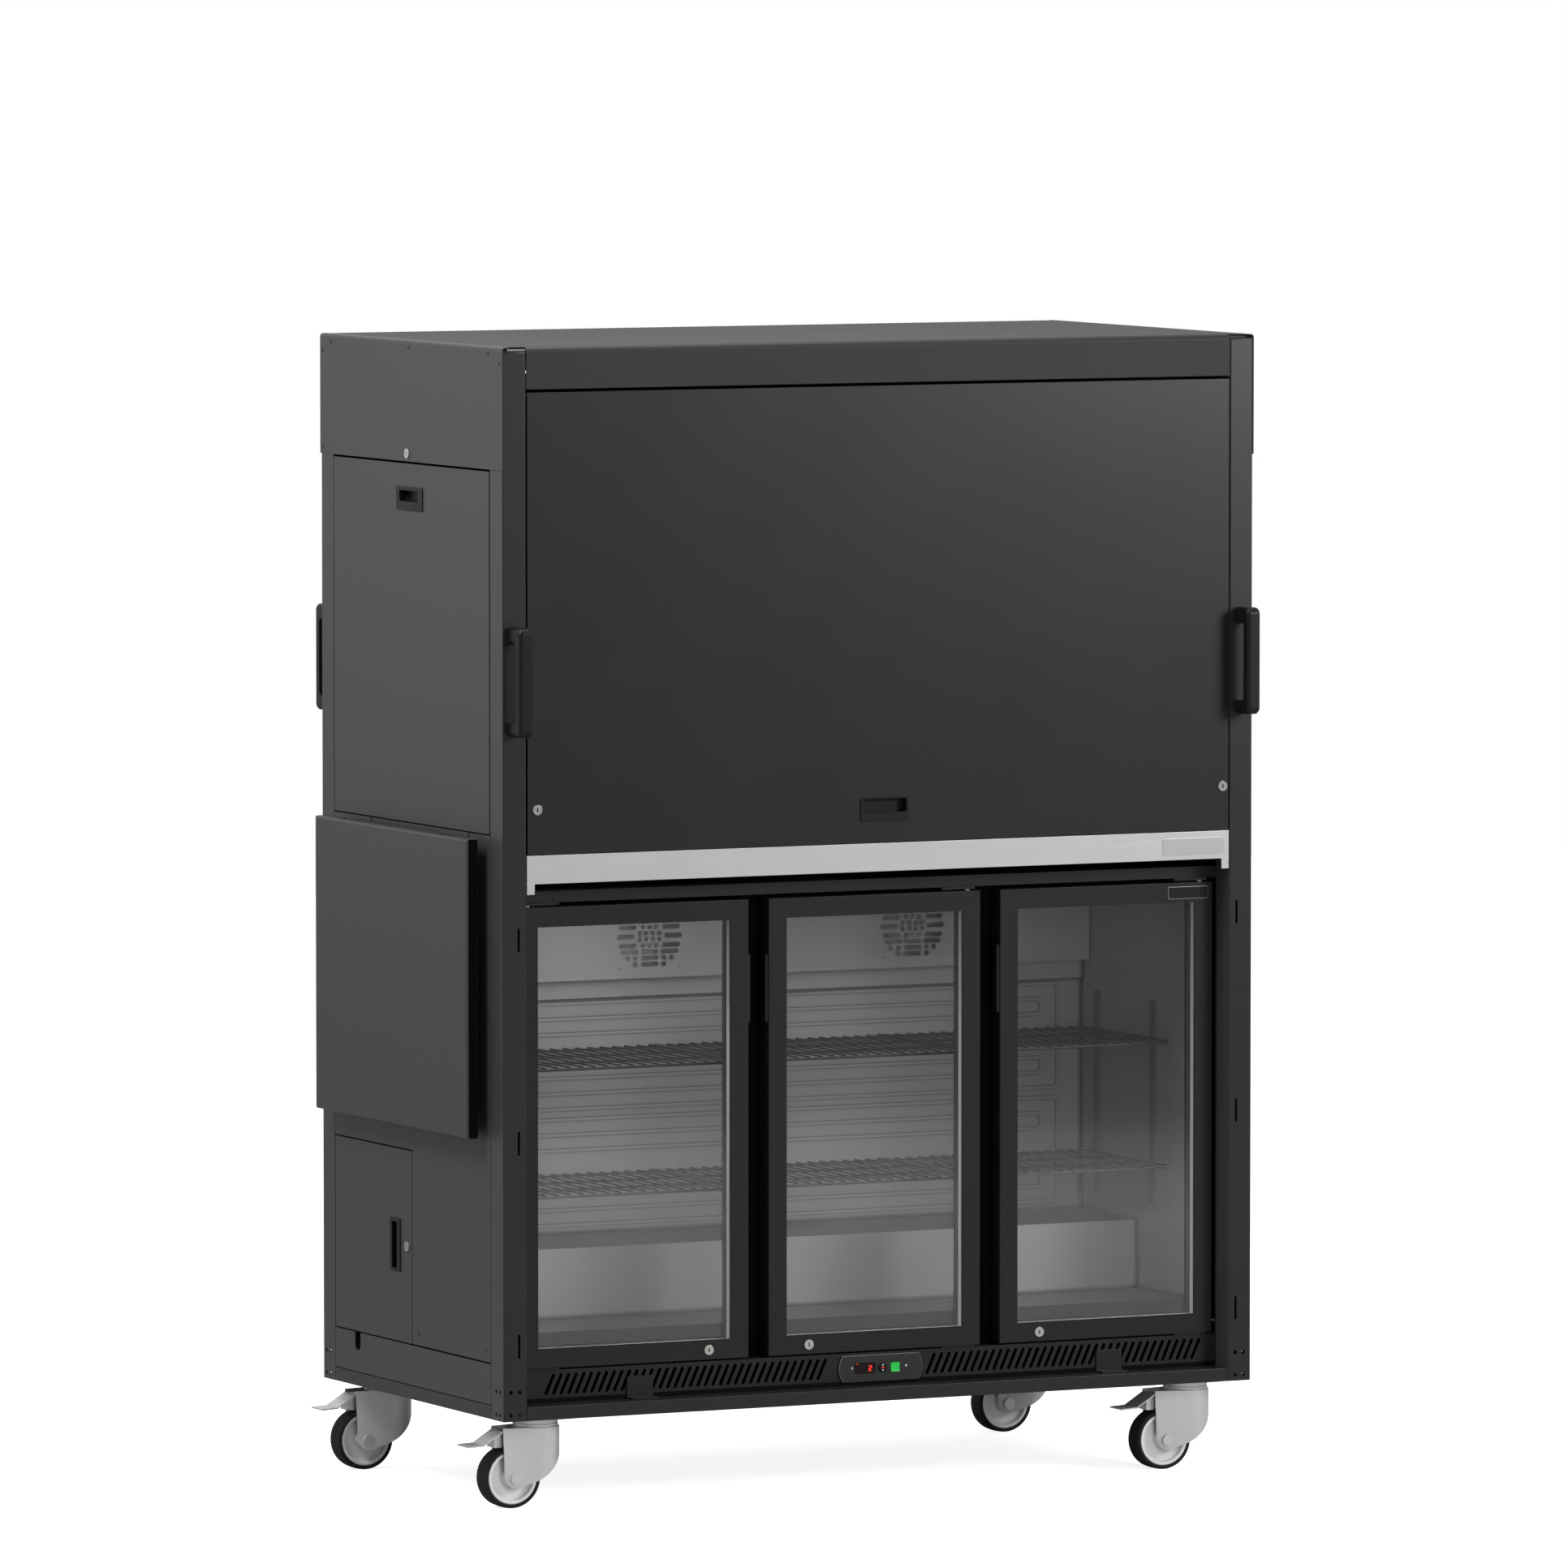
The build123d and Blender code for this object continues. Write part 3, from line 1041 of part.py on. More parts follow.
# Front flap, its pull and its two locks
flap_plate = (LEFT + 678, LEFT + 770, BASE + 1004, BASE + 1045.7)
flap_opening = (LEFT + 684.2, LEFT + 765.7, BASE + 1019, BASE + 1042.7)
flap_locks = {"flap_lock_left": (LEFT + 64.3, BASE + 1043.8), "flap_lock_right": (RIGHT - 58, BASE + 1043.8)}
with BuildPart() as flap_panel:
    folded_panel(
        FRONT_PLANE, INTO_FRONT, LEFT + POST_WIDTH + PANEL_GAP, RIGHT - POST_WIDTH - PANEL_GAP,
        FLAP_LOW, FLAP_TOP,
    )
    pull_hole(FRONT_PLANE, INTO_FRONT, flap_opening)
    for centre in flap_locks.values():
        lock_hole(FRONT_PLANE, INTO_FRONT, centre)
    for start in (LEFT + POST_WIDTH, RIGHT - POST_WIDTH - 2 * PANEL_GAP):
        bore = PIVOT_RADIUS + RUNNING_FIT
        rod(Plane.YZ, flap_pivot, bore, start, start + 2 * PANEL_GAP, mode=Mode.SUBTRACT)
write(flap_panel, "flap_panel")
recessed_pull("flap_pull", FRONT_PLANE, INTO_FRONT, flap_plate, flap_opening)
for name, centre in flap_locks.items():
    lock(name, FRONT_PLANE, INTO_FRONT, centre)

# Upper side door and its pull
side_door_plate = (FRONT + 324, FRONT + 432, BASE + 1537.5, BASE + 1578.5)
side_door_opening = (FRONT + 340, FRONT + 418, BASE + 1553, BASE + 1571.7)
with BuildPart() as side_door_panel:
    folded_panel(LEFT_PLANE, INTO_LEFT, SIDE_DOOR_FRONT, SIDE_DOOR_BACK, UPPER_PANEL_LOW, SIDE_DOOR_TOP)
    pull_hole(LEFT_PLANE, INTO_LEFT, side_door_opening)
    for start in (SIDE_DOOR_FRONT, SIDE_DOOR_BACK - SHEET):
        bore = PIVOT_RADIUS + RUNNING_FIT
        rod(Plane.XZ, side_door_pivot, bore, -start, -(start + SHEET), mode=Mode.SUBTRACT)
write(side_door_panel, "side_door_panel")
recessed_pull("side_door_pull", LEFT_PLANE, INTO_LEFT, side_door_plate, side_door_opening)

# The lock in the left header panel that holds the side door shut
header_face = Plane.YZ.offset(LEFT - SIDE_PROUD)
lock("header_lock", header_face, INTO_LEFT, HEADER_LOCK_CENTRE)

# Service door, its pull and its lock
service_plate = (FRONT + 422, FRONT + 464, BASE + 217, BASE + 310)
service_opening = (FRONT + 434.5, FRONT + 454.8, BASE + 222, BASE + 303)
service_lock_centre = (FRONT + 394, BASE + 264)
with BuildPart() as service_door_panel:
    folded_panel(LEFT_PLANE, INTO_LEFT, SERVICE_FRONT, SERVICE_BACK, SERVICE_LOW, SERVICE_TOP)
    pull_hole(LEFT_PLANE, INTO_LEFT, service_opening)
    lock_hole(LEFT_PLANE, INTO_LEFT, service_lock_centre)
    for start in (SERVICE_LOW, SERVICE_TOP - SHEET):
        rod(Plane.XY, service_pivot, PIVOT_RADIUS + RUNNING_FIT, start, start + SHEET, mode=Mode.SUBTRACT)
write(service_door_panel, "service_door_panel")
recessed_pull("service_door_pull", LEFT_PLANE, INTO_LEFT, service_plate, service_opening)
lock("service_lock", LEFT_PLANE, INTO_LEFT, service_lock_centre)

# Drop leaf: a folded sheet leaf with a pinned block on each side of both hinge brackets
with BuildPart() as drop_leaf:
    leaf_plane = Plane.YZ.offset(LEFT - LEAF_STANDOFF - LEAF_THICKNESS)
    folded_panel(leaf_plane, INTO_LEFT, LEAF_FRONT, LEAF_BACK, LEAF_LOW, LEAF_TOP, depth=LEAF_THICKNESS)
    leaf_back_x = LEFT - LEAF_STANDOFF
    for middle in leaf_hinge_centres:
        half = LEAF_BRACKET_WIDTH / 2
        block(
            leaf_back_x - LEAF_NOTCH_DEPTH - SHEET, leaf_back_x,
            middle - half - LEAF_BLOCK, middle + half + LEAF_BLOCK,
            leaf_pivot_z - LEAF_NOTCH_DEPTH - SHEET, LEAF_TOP,
        )
        block(
            leaf_back_x - LEAF_NOTCH_DEPTH, leaf_back_x, middle - leaf_notch / 2, middle + leaf_notch / 2,
            leaf_pivot_z - LEAF_NOTCH_DEPTH, LEAF_TOP, mode=Mode.SUBTRACT,
        )
        rod(Plane.XZ, (leaf_pivot_x, leaf_pivot_z), LEAF_PIN_RADIUS, -middle - half, -middle + half)
    outer_top = drop_leaf.edges().filter_by(Axis.Y).group_by(Axis.Z)[-1].sort_by(Axis.X)[0]
    fillet(outer_top, LEAF_EDGE_RADIUS)
write(drop_leaf, "drop_leaf")


def cooler_door(number):
    """One cooler door: frame with a grip lip, gasket behind it, glass unit and lock."""
    left, right = door_left(number), door_right(number)
    hinged_left = DOOR_HINGED_LEFT[number]
    door_back = DOOR_FRONT + DOOR_DEPTH
    front_face = Plane.XZ.offset(-DOOR_FRONT)
    glass_front = DOOR_FRONT + GLASS_INSET
    glass_back = glass_front + 2 * PANE + PANE_SPACE
    lock_x = right - DOOR_LOCK_INSET if hinged_left else left + DOOR_LOCK_INSET
    lock_centre = (lock_x, DOOR_LOW + DOOR_LOCK_RISE)
    opening = (left + DOOR_STILE, right - DOOR_STILE, DOOR_LOW + DOOR_STILE, DOOR_TOP - DOOR_STILE)
    with BuildPart() as frame:
        with BuildSketch(front_face) as outline:
            rectangle(left, right, DOOR_LOW, DOOR_TOP)
            rectangle(*opening, mode=Mode.SUBTRACT)
        extrude(outline.sketch, amount=-DOOR_DEPTH)
        outer_edges = frame.faces().sort_by(Axis.Y)[0].outer_wire().edges()
        fillet(outer_edges, DOOR_EDGE_RADIUS)
        block(
            opening[0] - GLASS_BITE, opening[1] + GLASS_BITE, glass_front, glass_back,
            opening[2] - GLASS_BITE, opening[3] + GLASS_BITE, mode=Mode.SUBTRACT,
        )
        grip = (right, right + GRIP_REACH) if hinged_left else (left - GRIP_REACH, left)
        grip_front = DOOR_FRONT + 2 * DOOR_EDGE_RADIUS
        block(*grip, grip_front, grip_front + GRIP_DEPTH, GRIP_LOW, GRIP_TOP)
        pin = (door_pivot_x(number), DOOR_FRONT + DOOR_PIVOT_BACK)
        bore = DOOR_PIN_LENGTH + SEAM
        rod(Plane.XY, pin, DOOR_PIN_RADIUS + RUNNING_FIT, DOOR_TOP - bore, DOOR_TOP, mode=Mode.SUBTRACT)
        rod(Plane.XY, pin, DOOR_PIN_RADIUS + RUNNING_FIT, DOOR_LOW, DOOR_LOW + bore, mode=Mode.SUBTRACT)
        lock_hole(front_face, INTO_FRONT, lock_centre, DOOR_LOCK_LENGTH + SEAM)
        with BuildSketch(Plane.XZ.offset(-door_back)) as gasket:
            inset = GASKET_INSET
            rectangle(left + inset, right - inset, DOOR_LOW + inset, DOOR_TOP - inset)
            inset += GASKET_WIDTH
            rectangle(left + inset, right - inset, DOOR_LOW + inset, DOOR_TOP - inset, mode=Mode.SUBTRACT)
        extrude(gasket.sketch, amount=-GASKET_DEPTH)
    write(frame, f"cooler_door_frame_{number + 1}")
    with BuildPart() as glass:
        edge = GLASS_BITE - SEAM
        sides = (opening[0] - edge, opening[1] + edge)
        levels = (opening[2] - edge, opening[3] + edge)
        block(*sides, glass_front, glass_front + PANE, *levels)
        block(*sides, glass_back - PANE, glass_back, *levels)
        with BuildSketch(Plane.XZ.offset(-glass_front - PANE)) as spacer:
            rectangle(*sides, *levels)
            width = SPACER_WIDTH
            rectangle(
                sides[0] + width, sides[1] - width, levels[0] + width, levels[1] - width, mode=Mode.SUBTRACT,
            )
        extrude(spacer.sketch, amount=-PANE_SPACE)
    write(glass, f"cooler_door_glass_{number + 1}")
    name = f"cooler_door_lock_{number + 1}"
    lock(name, front_face, INTO_FRONT, lock_centre, length=DOOR_LOCK_LENGTH, cam_width=0)


for number in range(len(DOOR_HINGED_LEFT)):
    cooler_door(number)

# Casters: swivel axes under the four corners
caster_places = {
    "front_left": (LEFT + CASTER_INSET_X, FRONT + CASTER_INSET_Y),
    "front_right": (RIGHT - CASTER_INSET_X, FRONT + CASTER_INSET_Y),
    "back_left": (LEFT + CASTER_INSET_X, BACK - CASTER_INSET_Y),
    "back_right": (RIGHT - CASTER_INSET_X, BACK - CASTER_INSET_Y),
}
race_low = BASE - RACE_DROP
crown_top = race_low - SEAM
crown_low = crown_top - FORK_WALL

with BuildPart() as caster_plates:
    for x, y in caster_places.values():
        half_x, half_y = CASTER_PLATE_X / 2, CASTER_PLATE_Y / 2
        block(x - half_x, x + half_x, y - half_y, y + half_y, BASE - CASTER_PLATE, BASE)
        middle = (BASE - CASTER_PLATE + race_low) / 2
        rod(Plane.XY, (x, y), RACE_RADIUS, middle + RACE_GROOVE / 2, BASE - CASTER_PLATE)
        rod(Plane.XY, (x, y), RACE_RADIUS - RACE_GROOVE, middle - RACE_GROOVE / 2, middle + RACE_GROOVE / 2)
        rod(Plane.XY, (x, y), RACE_RADIUS, race_low, middle - RACE_GROOVE / 2)
        head_top = crown_low - SEAM
        rod(Plane.XY, (x, y), KINGPIN_RADIUS, head_top, race_low)
        rod(Plane.XY, (x, y), KINGPIN_HEAD_RADIUS, head_top - KINGPIN_HEAD, head_top)
write(caster_plates, "caster_plates")


fork_back = CASTER_TRAIL + FORK_TAIL
leg_lean = atan2(FORK_WIDTH / 2, -fork_back) - acos(CROWN_RADIUS / hypot(fork_back, FORK_WIDTH / 2))


def leg_face(back, inset=0):
    """From a fork's middle to the face of a leg, which runs from its narrow end in a tangent to its crown."""
    return (CROWN_RADIUS - inset + back * cos(leg_lean)) / sin(leg_lean)


def caster_fork(place, x, y):
    """A pressed fork: a round crown that narrows to two legs, with its axle and pedal pin."""
    axle_x = x - CASTER_TRAIL
    axle_z = BASE - AXLE_DROP
    tail = axle_x - FORK_TAIL
    half = FORK_WIDTH / 2
    nose_z = BASE - FORK_NOSE_DROP
    deep = axle_z - 2 * FORK_LOBE_RADIUS
    with BuildPart() as fork:
        with BuildSketch(Plane.XY.offset(crown_top)) as plan:
            with Locations((x, y)):
                Circle(CROWN_RADIUS)
            rectangle(tail, axle_x, y - half, y + half)
            make_hull(plan.edges())
        extrude(plan.sketch, amount=deep - crown_top)
        with BuildSketch(Plane.XY.offset(crown_low)) as channel:
            with Locations((x, y)):
                Circle(CROWN_RADIUS - FORK_WALL)
            mouth = leg_face(fork_back + SEAM, FORK_WALL)
            rectangle(tail - SEAM, axle_x, y - mouth, y + mouth)
            make_hull(channel.edges())
        extrude(channel.sketch, amount=deep - crown_low, mode=Mode.SUBTRACT)
        with BuildSketch(Plane.XY.offset(crown_low)) as open_back:
            add(channel.sketch_local)
            with Locations((x, y)):
                Circle(CROWN_RADIUS, mode=Mode.SUBTRACT)
        extrude(open_back.sketch, amount=FORK_WALL, mode=Mode.SUBTRACT)
        with BuildSketch(Plane.XZ.offset(-y - half - CROWN_RADIUS)) as side:
            with BuildLine():
                Line((tail, crown_top), (x + CROWN_RADIUS, crown_top))
                Line((x + CROWN_RADIUS, crown_top), (x + CROWN_RADIUS, nose_z))
                nose = ThreePointArc(
                    (x + CROWN_RADIUS, nose_z), (x + CROWN_RADIUS * NOSE_SHARE, nose_z - NOSE_DROP),
                    (axle_x + FORK_LOBE_RADIUS, axle_z - FORK_LOBE_RADIUS * LOBE_SHARE),
                )
                ThreePointArc(
                    nose @ 1, (axle_x, axle_z - FORK_LOBE_RADIUS),
                    (axle_x - FORK_LOBE_RADIUS, axle_z),
                )
                Line((axle_x - FORK_LOBE_RADIUS, axle_z), (tail, crown_top))
            make_face()
        extrude(side.sketch, amount=2 * (half + CROWN_RADIUS), mode=Mode.INTERSECT)
        rod(Plane.XY, (x, y), KINGPIN_RADIUS + RUNNING_FIT, crown_low, crown_top, mode=Mode.SUBTRACT)
        leg = leg_face(CASTER_TRAIL)
        rod(Plane.XZ, (axle_x, axle_z), AXLE_RADIUS, -y - leg, -y + leg)
        for outward in (-1, 1):
            head = -y + outward * (leg - FORK_WALL)
            rod(Plane.XZ, (axle_x, axle_z), AXLE_HEAD_RADIUS, head, head + outward * (FORK_WALL + AXLE_HEAD))
        pin = (x - PEDAL_PIVOT_BACK, BASE - PEDAL_PIVOT_DROP)
        leg = leg_face(PEDAL_PIVOT_BACK)
        rod(Plane.XZ, pin, PEDAL_PIN_RADIUS, -y - leg, -y + leg)
    write(fork, f"caster_fork_{place}")


def caster_wheel(place, x, y):
    """A wheel: a moulded rim with a recessed web on each side, and its rubber tyre."""
    axle_x = x - CASTER_TRAIL
    axle_z = BASE - AXLE_DROP
    axis = Axis((axle_x, y, axle_z), (0, 1, 0))
    seat = WHEEL_RADIUS - TYRE_DEPTH
    bore = AXLE_RADIUS + RUNNING_FIT
    profile_plane = Plane.YZ.offset(axle_x)
    with BuildPart() as rim:
        with BuildSketch(profile_plane) as rim_profile:
            half = RIM_WIDTH / 2
            rectangle(y - half, y + half, axle_z + seat - RIM_WALL, axle_z + seat - RUNNING_FIT)
            half = RIM_WEB / 2
            rectangle(y - half, y + half, axle_z + HUB_RADIUS, axle_z + seat - RIM_WALL)
            half = leg_face(CASTER_TRAIL + HUB_RADIUS, FORK_WALL) - HUB_CLEARANCE
            rectangle(y - half, y + half, axle_z + bore, axle_z + HUB_RADIUS)
        revolve(rim_profile.sketch, axis=axis)
    write(rim, f"caster_rim_{place}")
    with BuildPart() as tyre:
        with BuildSketch(profile_plane) as tyre_profile:
            half = WHEEL_WIDTH / 2
            rectangle(y - half, y + half, axle_z + seat, axle_z + WHEEL_RADIUS)
            chamfer(tyre_profile.vertices().group_by(Axis.Y)[-1], TYRE_SHOULDER)
        revolve(tyre_profile.sketch, axis=axis)
    write(tyre, f"caster_tyre_{place}")


def brake_pedal(place, x, y):
    """A foot pedal: barrel on the fork's pin, cranked plate, and the shoe over the tyre."""
    pivot_x = x - PEDAL_PIVOT_BACK
    pivot_z = BASE - PEDAL_PIVOT_DROP
    heel = x - CASTER_TRAIL - FORK_TAIL - SEAM
    plate_top = BASE - PEDAL_TOP_DROP
    plate_low = plate_top - PEDAL_SHEET
    barrel = (pivot_x, pivot_z)
    tongue = PEDAL_TONGUE_WIDTH / 2
    with BuildPart() as pedal:
        block(heel, pivot_x + PEDAL_SHEET / 2, y - tongue, y + tongue, plate_low, plate_top)
        rod(Plane.XZ, barrel, PEDAL_BARREL_RADIUS, -y - tongue, -y + tongue)
        with BuildSketch(Plane.XZ.offset(-y - PEDAL_WIDTH / 2)) as crank:
            knee = (heel + SEAM - PEDAL_SLOPE_RUN, plate_top - PEDAL_SLOPE_DROP)
            tip = (knee[0] - PEDAL_LIP, knee[1] - PEDAL_LIP_DROP)
            with BuildLine():
                Polyline(
                    (heel, plate_top), knee, tip, (tip[0], tip[1] - PEDAL_SHEET),
                    (knee[0], knee[1] - PEDAL_SHEET), (heel, plate_low), close=True,
                )
            make_face()
        extrude(crank.sketch, amount=PEDAL_WIDTH)
        with BuildSketch(Plane.XZ.offset(-y - SHOE_WIDTH / 2)) as shoe:
            toe = heel - SHOE_REACH
            shoe_low = BASE - SHOE_DROP
            with BuildLine():
                Polyline(
                    (toe + SHOE_LENGTH, shoe_low), (toe + SHOE_LENGTH, plate_low), (heel, plate_low),
                    (toe, plate_low - PEDAL_SLOPE_DROP * SHOE_REACH / PEDAL_SLOPE_RUN), (toe, shoe_low),
                    close=True,
                )
            make_face()
        extrude(shoe.sketch, amount=SHOE_WIDTH)
        rod(Plane.XZ, barrel, PEDAL_PIN_RADIUS + RUNNING_FIT, -y - tongue, -y + tongue, mode=Mode.SUBTRACT)
    write(pedal, f"brake_pedal_{place}")


for place, (x, y) in caster_places.items():
    caster_fork(place, x, y)
    caster_wheel(place, x, y)
    brake_pedal(place, x, y)
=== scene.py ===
"""Dresses the mobile cocktail station: finishes, fine detail, studio and camera.

Lengths in the code are millimetres of the station's body: x from its left face, y from its front
face and z from the underside of its base. `Body.at` turns them into the frame's metres.
"""

import logging
import math
from dataclasses import dataclass, field
from enum import Enum
from typing import Callable, Iterable, Optional, Sequence

import bmesh
import bpy
from mathutils import Matrix, Vector


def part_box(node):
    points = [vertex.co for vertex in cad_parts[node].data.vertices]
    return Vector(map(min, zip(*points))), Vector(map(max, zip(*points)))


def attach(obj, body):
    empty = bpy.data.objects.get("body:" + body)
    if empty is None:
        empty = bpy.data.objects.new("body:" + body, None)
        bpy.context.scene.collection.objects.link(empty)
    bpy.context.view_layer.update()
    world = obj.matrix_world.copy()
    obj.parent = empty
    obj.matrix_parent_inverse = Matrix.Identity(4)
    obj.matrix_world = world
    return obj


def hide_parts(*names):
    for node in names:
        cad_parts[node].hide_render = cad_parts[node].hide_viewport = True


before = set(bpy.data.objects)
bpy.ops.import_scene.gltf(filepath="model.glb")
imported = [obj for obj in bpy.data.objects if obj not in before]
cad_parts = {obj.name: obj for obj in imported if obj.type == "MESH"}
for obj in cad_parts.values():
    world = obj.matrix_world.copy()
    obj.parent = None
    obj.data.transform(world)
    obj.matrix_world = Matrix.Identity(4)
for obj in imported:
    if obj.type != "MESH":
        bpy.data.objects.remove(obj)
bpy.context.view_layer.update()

MM = 0.001
LOG = logging.getLogger("station")

# Degrees. Edges that turn more than the first are bevelled, edges that turn less than the second
# are shaded smooth, and faces that turn less than the third become one.
SHARP_TURN = 28.0
SMOOTH_TURN = 32.0
FLAT_TURN = 0.4

# Metres. Vertices closer than this are one, in new pieces and in copies of the CAD nodes.
MERGE_NEW = 1e-6
MERGE_CAD = 2e-6

# The sockets of a Mix node share their names, so they go by their numbers.
VALUE_A, VALUE_B, VALUE_OUT = 2, 3, 0
COLOUR_A, COLOUR_B, COLOUR_OUT = 6, 7, 2

Material = bpy.types.Material
Tree = bpy.types.NodeTree
Node = bpy.types.Node
Socket = bpy.types.NodeSocket
Face = bpy.types.MeshPolygon


class Axis(Enum):
    """The three directions that pieces run or turn along."""

    X = Vector((1, 0, 0))
    Y = Vector((0, 1, 0))
    Z = Vector((0, 0, 1))


class Body:
    """The station's own coordinates, taken from the posts' lowest front left corner."""

    ORIGIN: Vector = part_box("corner_posts")[0]

    @classmethod
    def at(cls, x: float, y: float, z: float) -> Vector:
        """Gives a point of the body in metres of the frame."""
        return cls.ORIGIN + Vector((x, y, z)) * MM

    @classmethod
    def from_frame(cls, point: Vector) -> Vector:
        """Gives a point of the frame in millimetres of the body."""
        return (point - cls.ORIGIN) / MM


def linear(hex_colour: str) -> tuple[float, float, float, float]:
    """Turns an sRGB hex colour into linear RGBA.

    Args:
        hex_colour: Six digits after a hash, such as "#2a2a2c".

    Returns:
        Red, green, blue and alpha between 0 and 1.
    """
    channels = [int(hex_colour[i:i + 2], 16) / 255 for i in (1, 3, 5)]
    return tuple(c / 12.92 if c <= 0.04045 else ((c + 0.055) / 1.055) ** 2.4 for c in channels) + (1.0,)


def add_node(tree: Tree, kind: str, settings: Optional[dict] = None, **sockets: object) -> Node:
    """Adds one shader node.

    Args:
        tree: The node tree that gets it.
        kind: The node's type, such as "ShaderNodeTexNoise".
        settings: Properties of the node itself.
        **sockets: Inputs by name, with underscores for spaces: a value, or an output to link.

    Returns:
        The new node.
    """
    node = tree.nodes.new(kind)
    for name, value in (settings or {}).items():
        setattr(node, name, value)
    for name, value in sockets.items():
        socket = node.inputs[name.replace("_", " ")]
        if isinstance(value, bpy.types.NodeSocket):
            tree.links.new(value, socket)
        else:
            socket.default_value = value
    return node


@dataclass(frozen=True)
class Look:
    """A material in the making: its nodes, and coordinates in metres."""

    tree: Tree
    shader: Node
    output: Node
    place: Socket


@dataclass(frozen=True)
class Finish:
    """A finish whose colour and roughness vary a little over patches of a real size."""

    name: str
    colour: str
    roughness: float = 0.5
    metallic: float = 0.0
    cloud_mm: float = 60
    spread: float = 0.06

    def build(self) -> Material:
        """Makes the material.

        Returns:
            The new material.
        """
        material = bpy.data.materials.new(self.name)
        material.use_nodes = True
        tree = material.node_tree
        tree.nodes.clear()
        shader = add_node(
            tree, "ShaderNodeBsdfPrincipled",
            Base_Color=linear(self.colour), Roughness=self.roughness, Metallic=self.metallic,
        )
        output = add_node(tree, "ShaderNodeOutputMaterial", Surface=shader.outputs["BSDF"])
        place = add_node(tree, "ShaderNodeTexCoord").outputs["Object"]
        self.refine(Look(tree, shader, output, place))
        return material

    def refine(self, look: Look) -> None:
        """Adds what this kind of finish has beyond its plain colour.

        Args:
            look: The material in the making.
        """
        self.mottle(look)

    def mottle(self, look: Look) -> None:
        """Varies colour and roughness over patches.

        Args:
            look: The material in the making.
        """
        tree, shader = look.tree, look.shader
        cloud = add_node(
            tree, "ShaderNodeTexNoise", Vector=look.place, Scale=1 / (self.cloud_mm * MM), Detail=4.0,
        )
        channels = linear(self.colour)[:3]
        ramp = add_node(tree, "ShaderNodeMix", {"data_type": "RGBA"})
        tree.links.new(cloud.outputs["Fac"], ramp.inputs["Factor"])
        ramp.inputs[COLOUR_A].default_value = tuple(c * (1 - self.spread) for c in channels) + (1.0,)
        ramp.inputs[COLOUR_B].default_value = (
            tuple(min(1.0, c * (1 + self.spread)) for c in channels) + (1.0,)
        )
        tree.links.new(ramp.outputs[COLOUR_OUT], shader.inputs["Base Color"])
        swing = add_node(
            tree, "ShaderNodeMapRange", Value=cloud.outputs["Fac"],
            To_Min=self.roughness * (1 - self.spread),
            To_Max=min(1.0, self.roughness * (1 + self.spread)),
        )
        tree.links.new(swing.outputs["Result"], shader.inputs["Roughness"])


@dataclass(frozen=True)
class Grained(Finish):
    """A coat or a moulded skin with a fine grain, which breaks up what it mirrors."""

    grain_mm: float = 1.0
    relief_mm: float = 0.05
    gloss: float = 0.32
    detail: float = 3.0
    strength: float = 0.6

    def refine(self, look: Look) -> None:
        """Adds the grain, drawn coarser than its real half millimetre so that it shows.

        Args:
            look: The material in the making.
        """
        tree, shader = look.tree, look.shader
        self.mottle(look)
        shader.inputs["Specular IOR Level"].default_value = self.gloss
        grain = add_node(
            tree, "ShaderNodeTexNoise", Vector=look.place, Scale=1 / (self.grain_mm * MM), Detail=self.detail,
        )
        bump = add_node(
            tree, "ShaderNodeBump", Height=grain.outputs["Fac"], Distance=self.relief_mm * MM,
            Strength=self.strength,
        )
        tree.links.new(bump.outputs["Normal"], shader.inputs["Normal"])


@dataclass(frozen=True)
class PowderCoat(Grained):
    """Baked polyester powder on steel: satin, with the small orange-peel grain of the melt."""

    cloud_mm: float = 180
    spread: float = 0.05
    grain_mm: float = 1.6


@dataclass(frozen=True)
class MouldedPlastic(Grained):
    """ABS or nylon from a spark-eroded mould: an even, very fine leathery grain."""

    cloud_mm: float = 40
    spread: float = 0.05
    grain_mm: float = 0.9
    relief_mm: float = 0.03
    gloss: float = 0.22
    detail: float = 2.0
    strength: float = 0.5


@dataclass(frozen=True)
class BrushedSteel(Finish):
    """Stainless steel rubbed along its length: long scratches that draw out highlights."""

    along_mm: float = 90
    across_mm: float = 0.7
    lean: Axis = Axis.X
    smoothest: float = 0.75
    roughest: float = 1.3
    relief_mm: float = 0.02

    def refine(self, look: Look) -> None:
        """Adds the brushing, drawn at about twice its real width so that it shows.

        Args:
            look: The material in the making.
        """
        tree, shader = look.tree, look.shader
        scale = [1 / (self.across_mm * MM)] * 3
        scale["XYZ".index(self.lean.name)] = 1 / (self.along_mm * MM)
        stretched = add_node(tree, "ShaderNodeMapping", Vector=look.place, Scale=scale)
        brush = add_node(
            tree, "ShaderNodeTexNoise", Vector=stretched.outputs["Vector"], Scale=1.0, Detail=5.0,
        )
        swing = add_node(
            tree, "ShaderNodeMapRange", Value=brush.outputs["Fac"],
            To_Min=self.roughness * self.smoothest, To_Max=self.roughness * self.roughest,
        )
        tree.links.new(swing.outputs["Result"], shader.inputs["Roughness"])
        bump = add_node(
            tree, "ShaderNodeBump", Height=brush.outputs["Fac"], Distance=self.relief_mm * MM, Strength=0.5,
        )
        tree.links.new(bump.outputs["Normal"], shader.inputs["Normal"])


@dataclass(frozen=True)
class PlatedSteel(Finish):
    """Zinc or nickel on steel: bright, with faint clouds where the plating bath left them."""

    metallic: float = 1.0
    cloud_mm: float = 25
    spread: float = 0.04


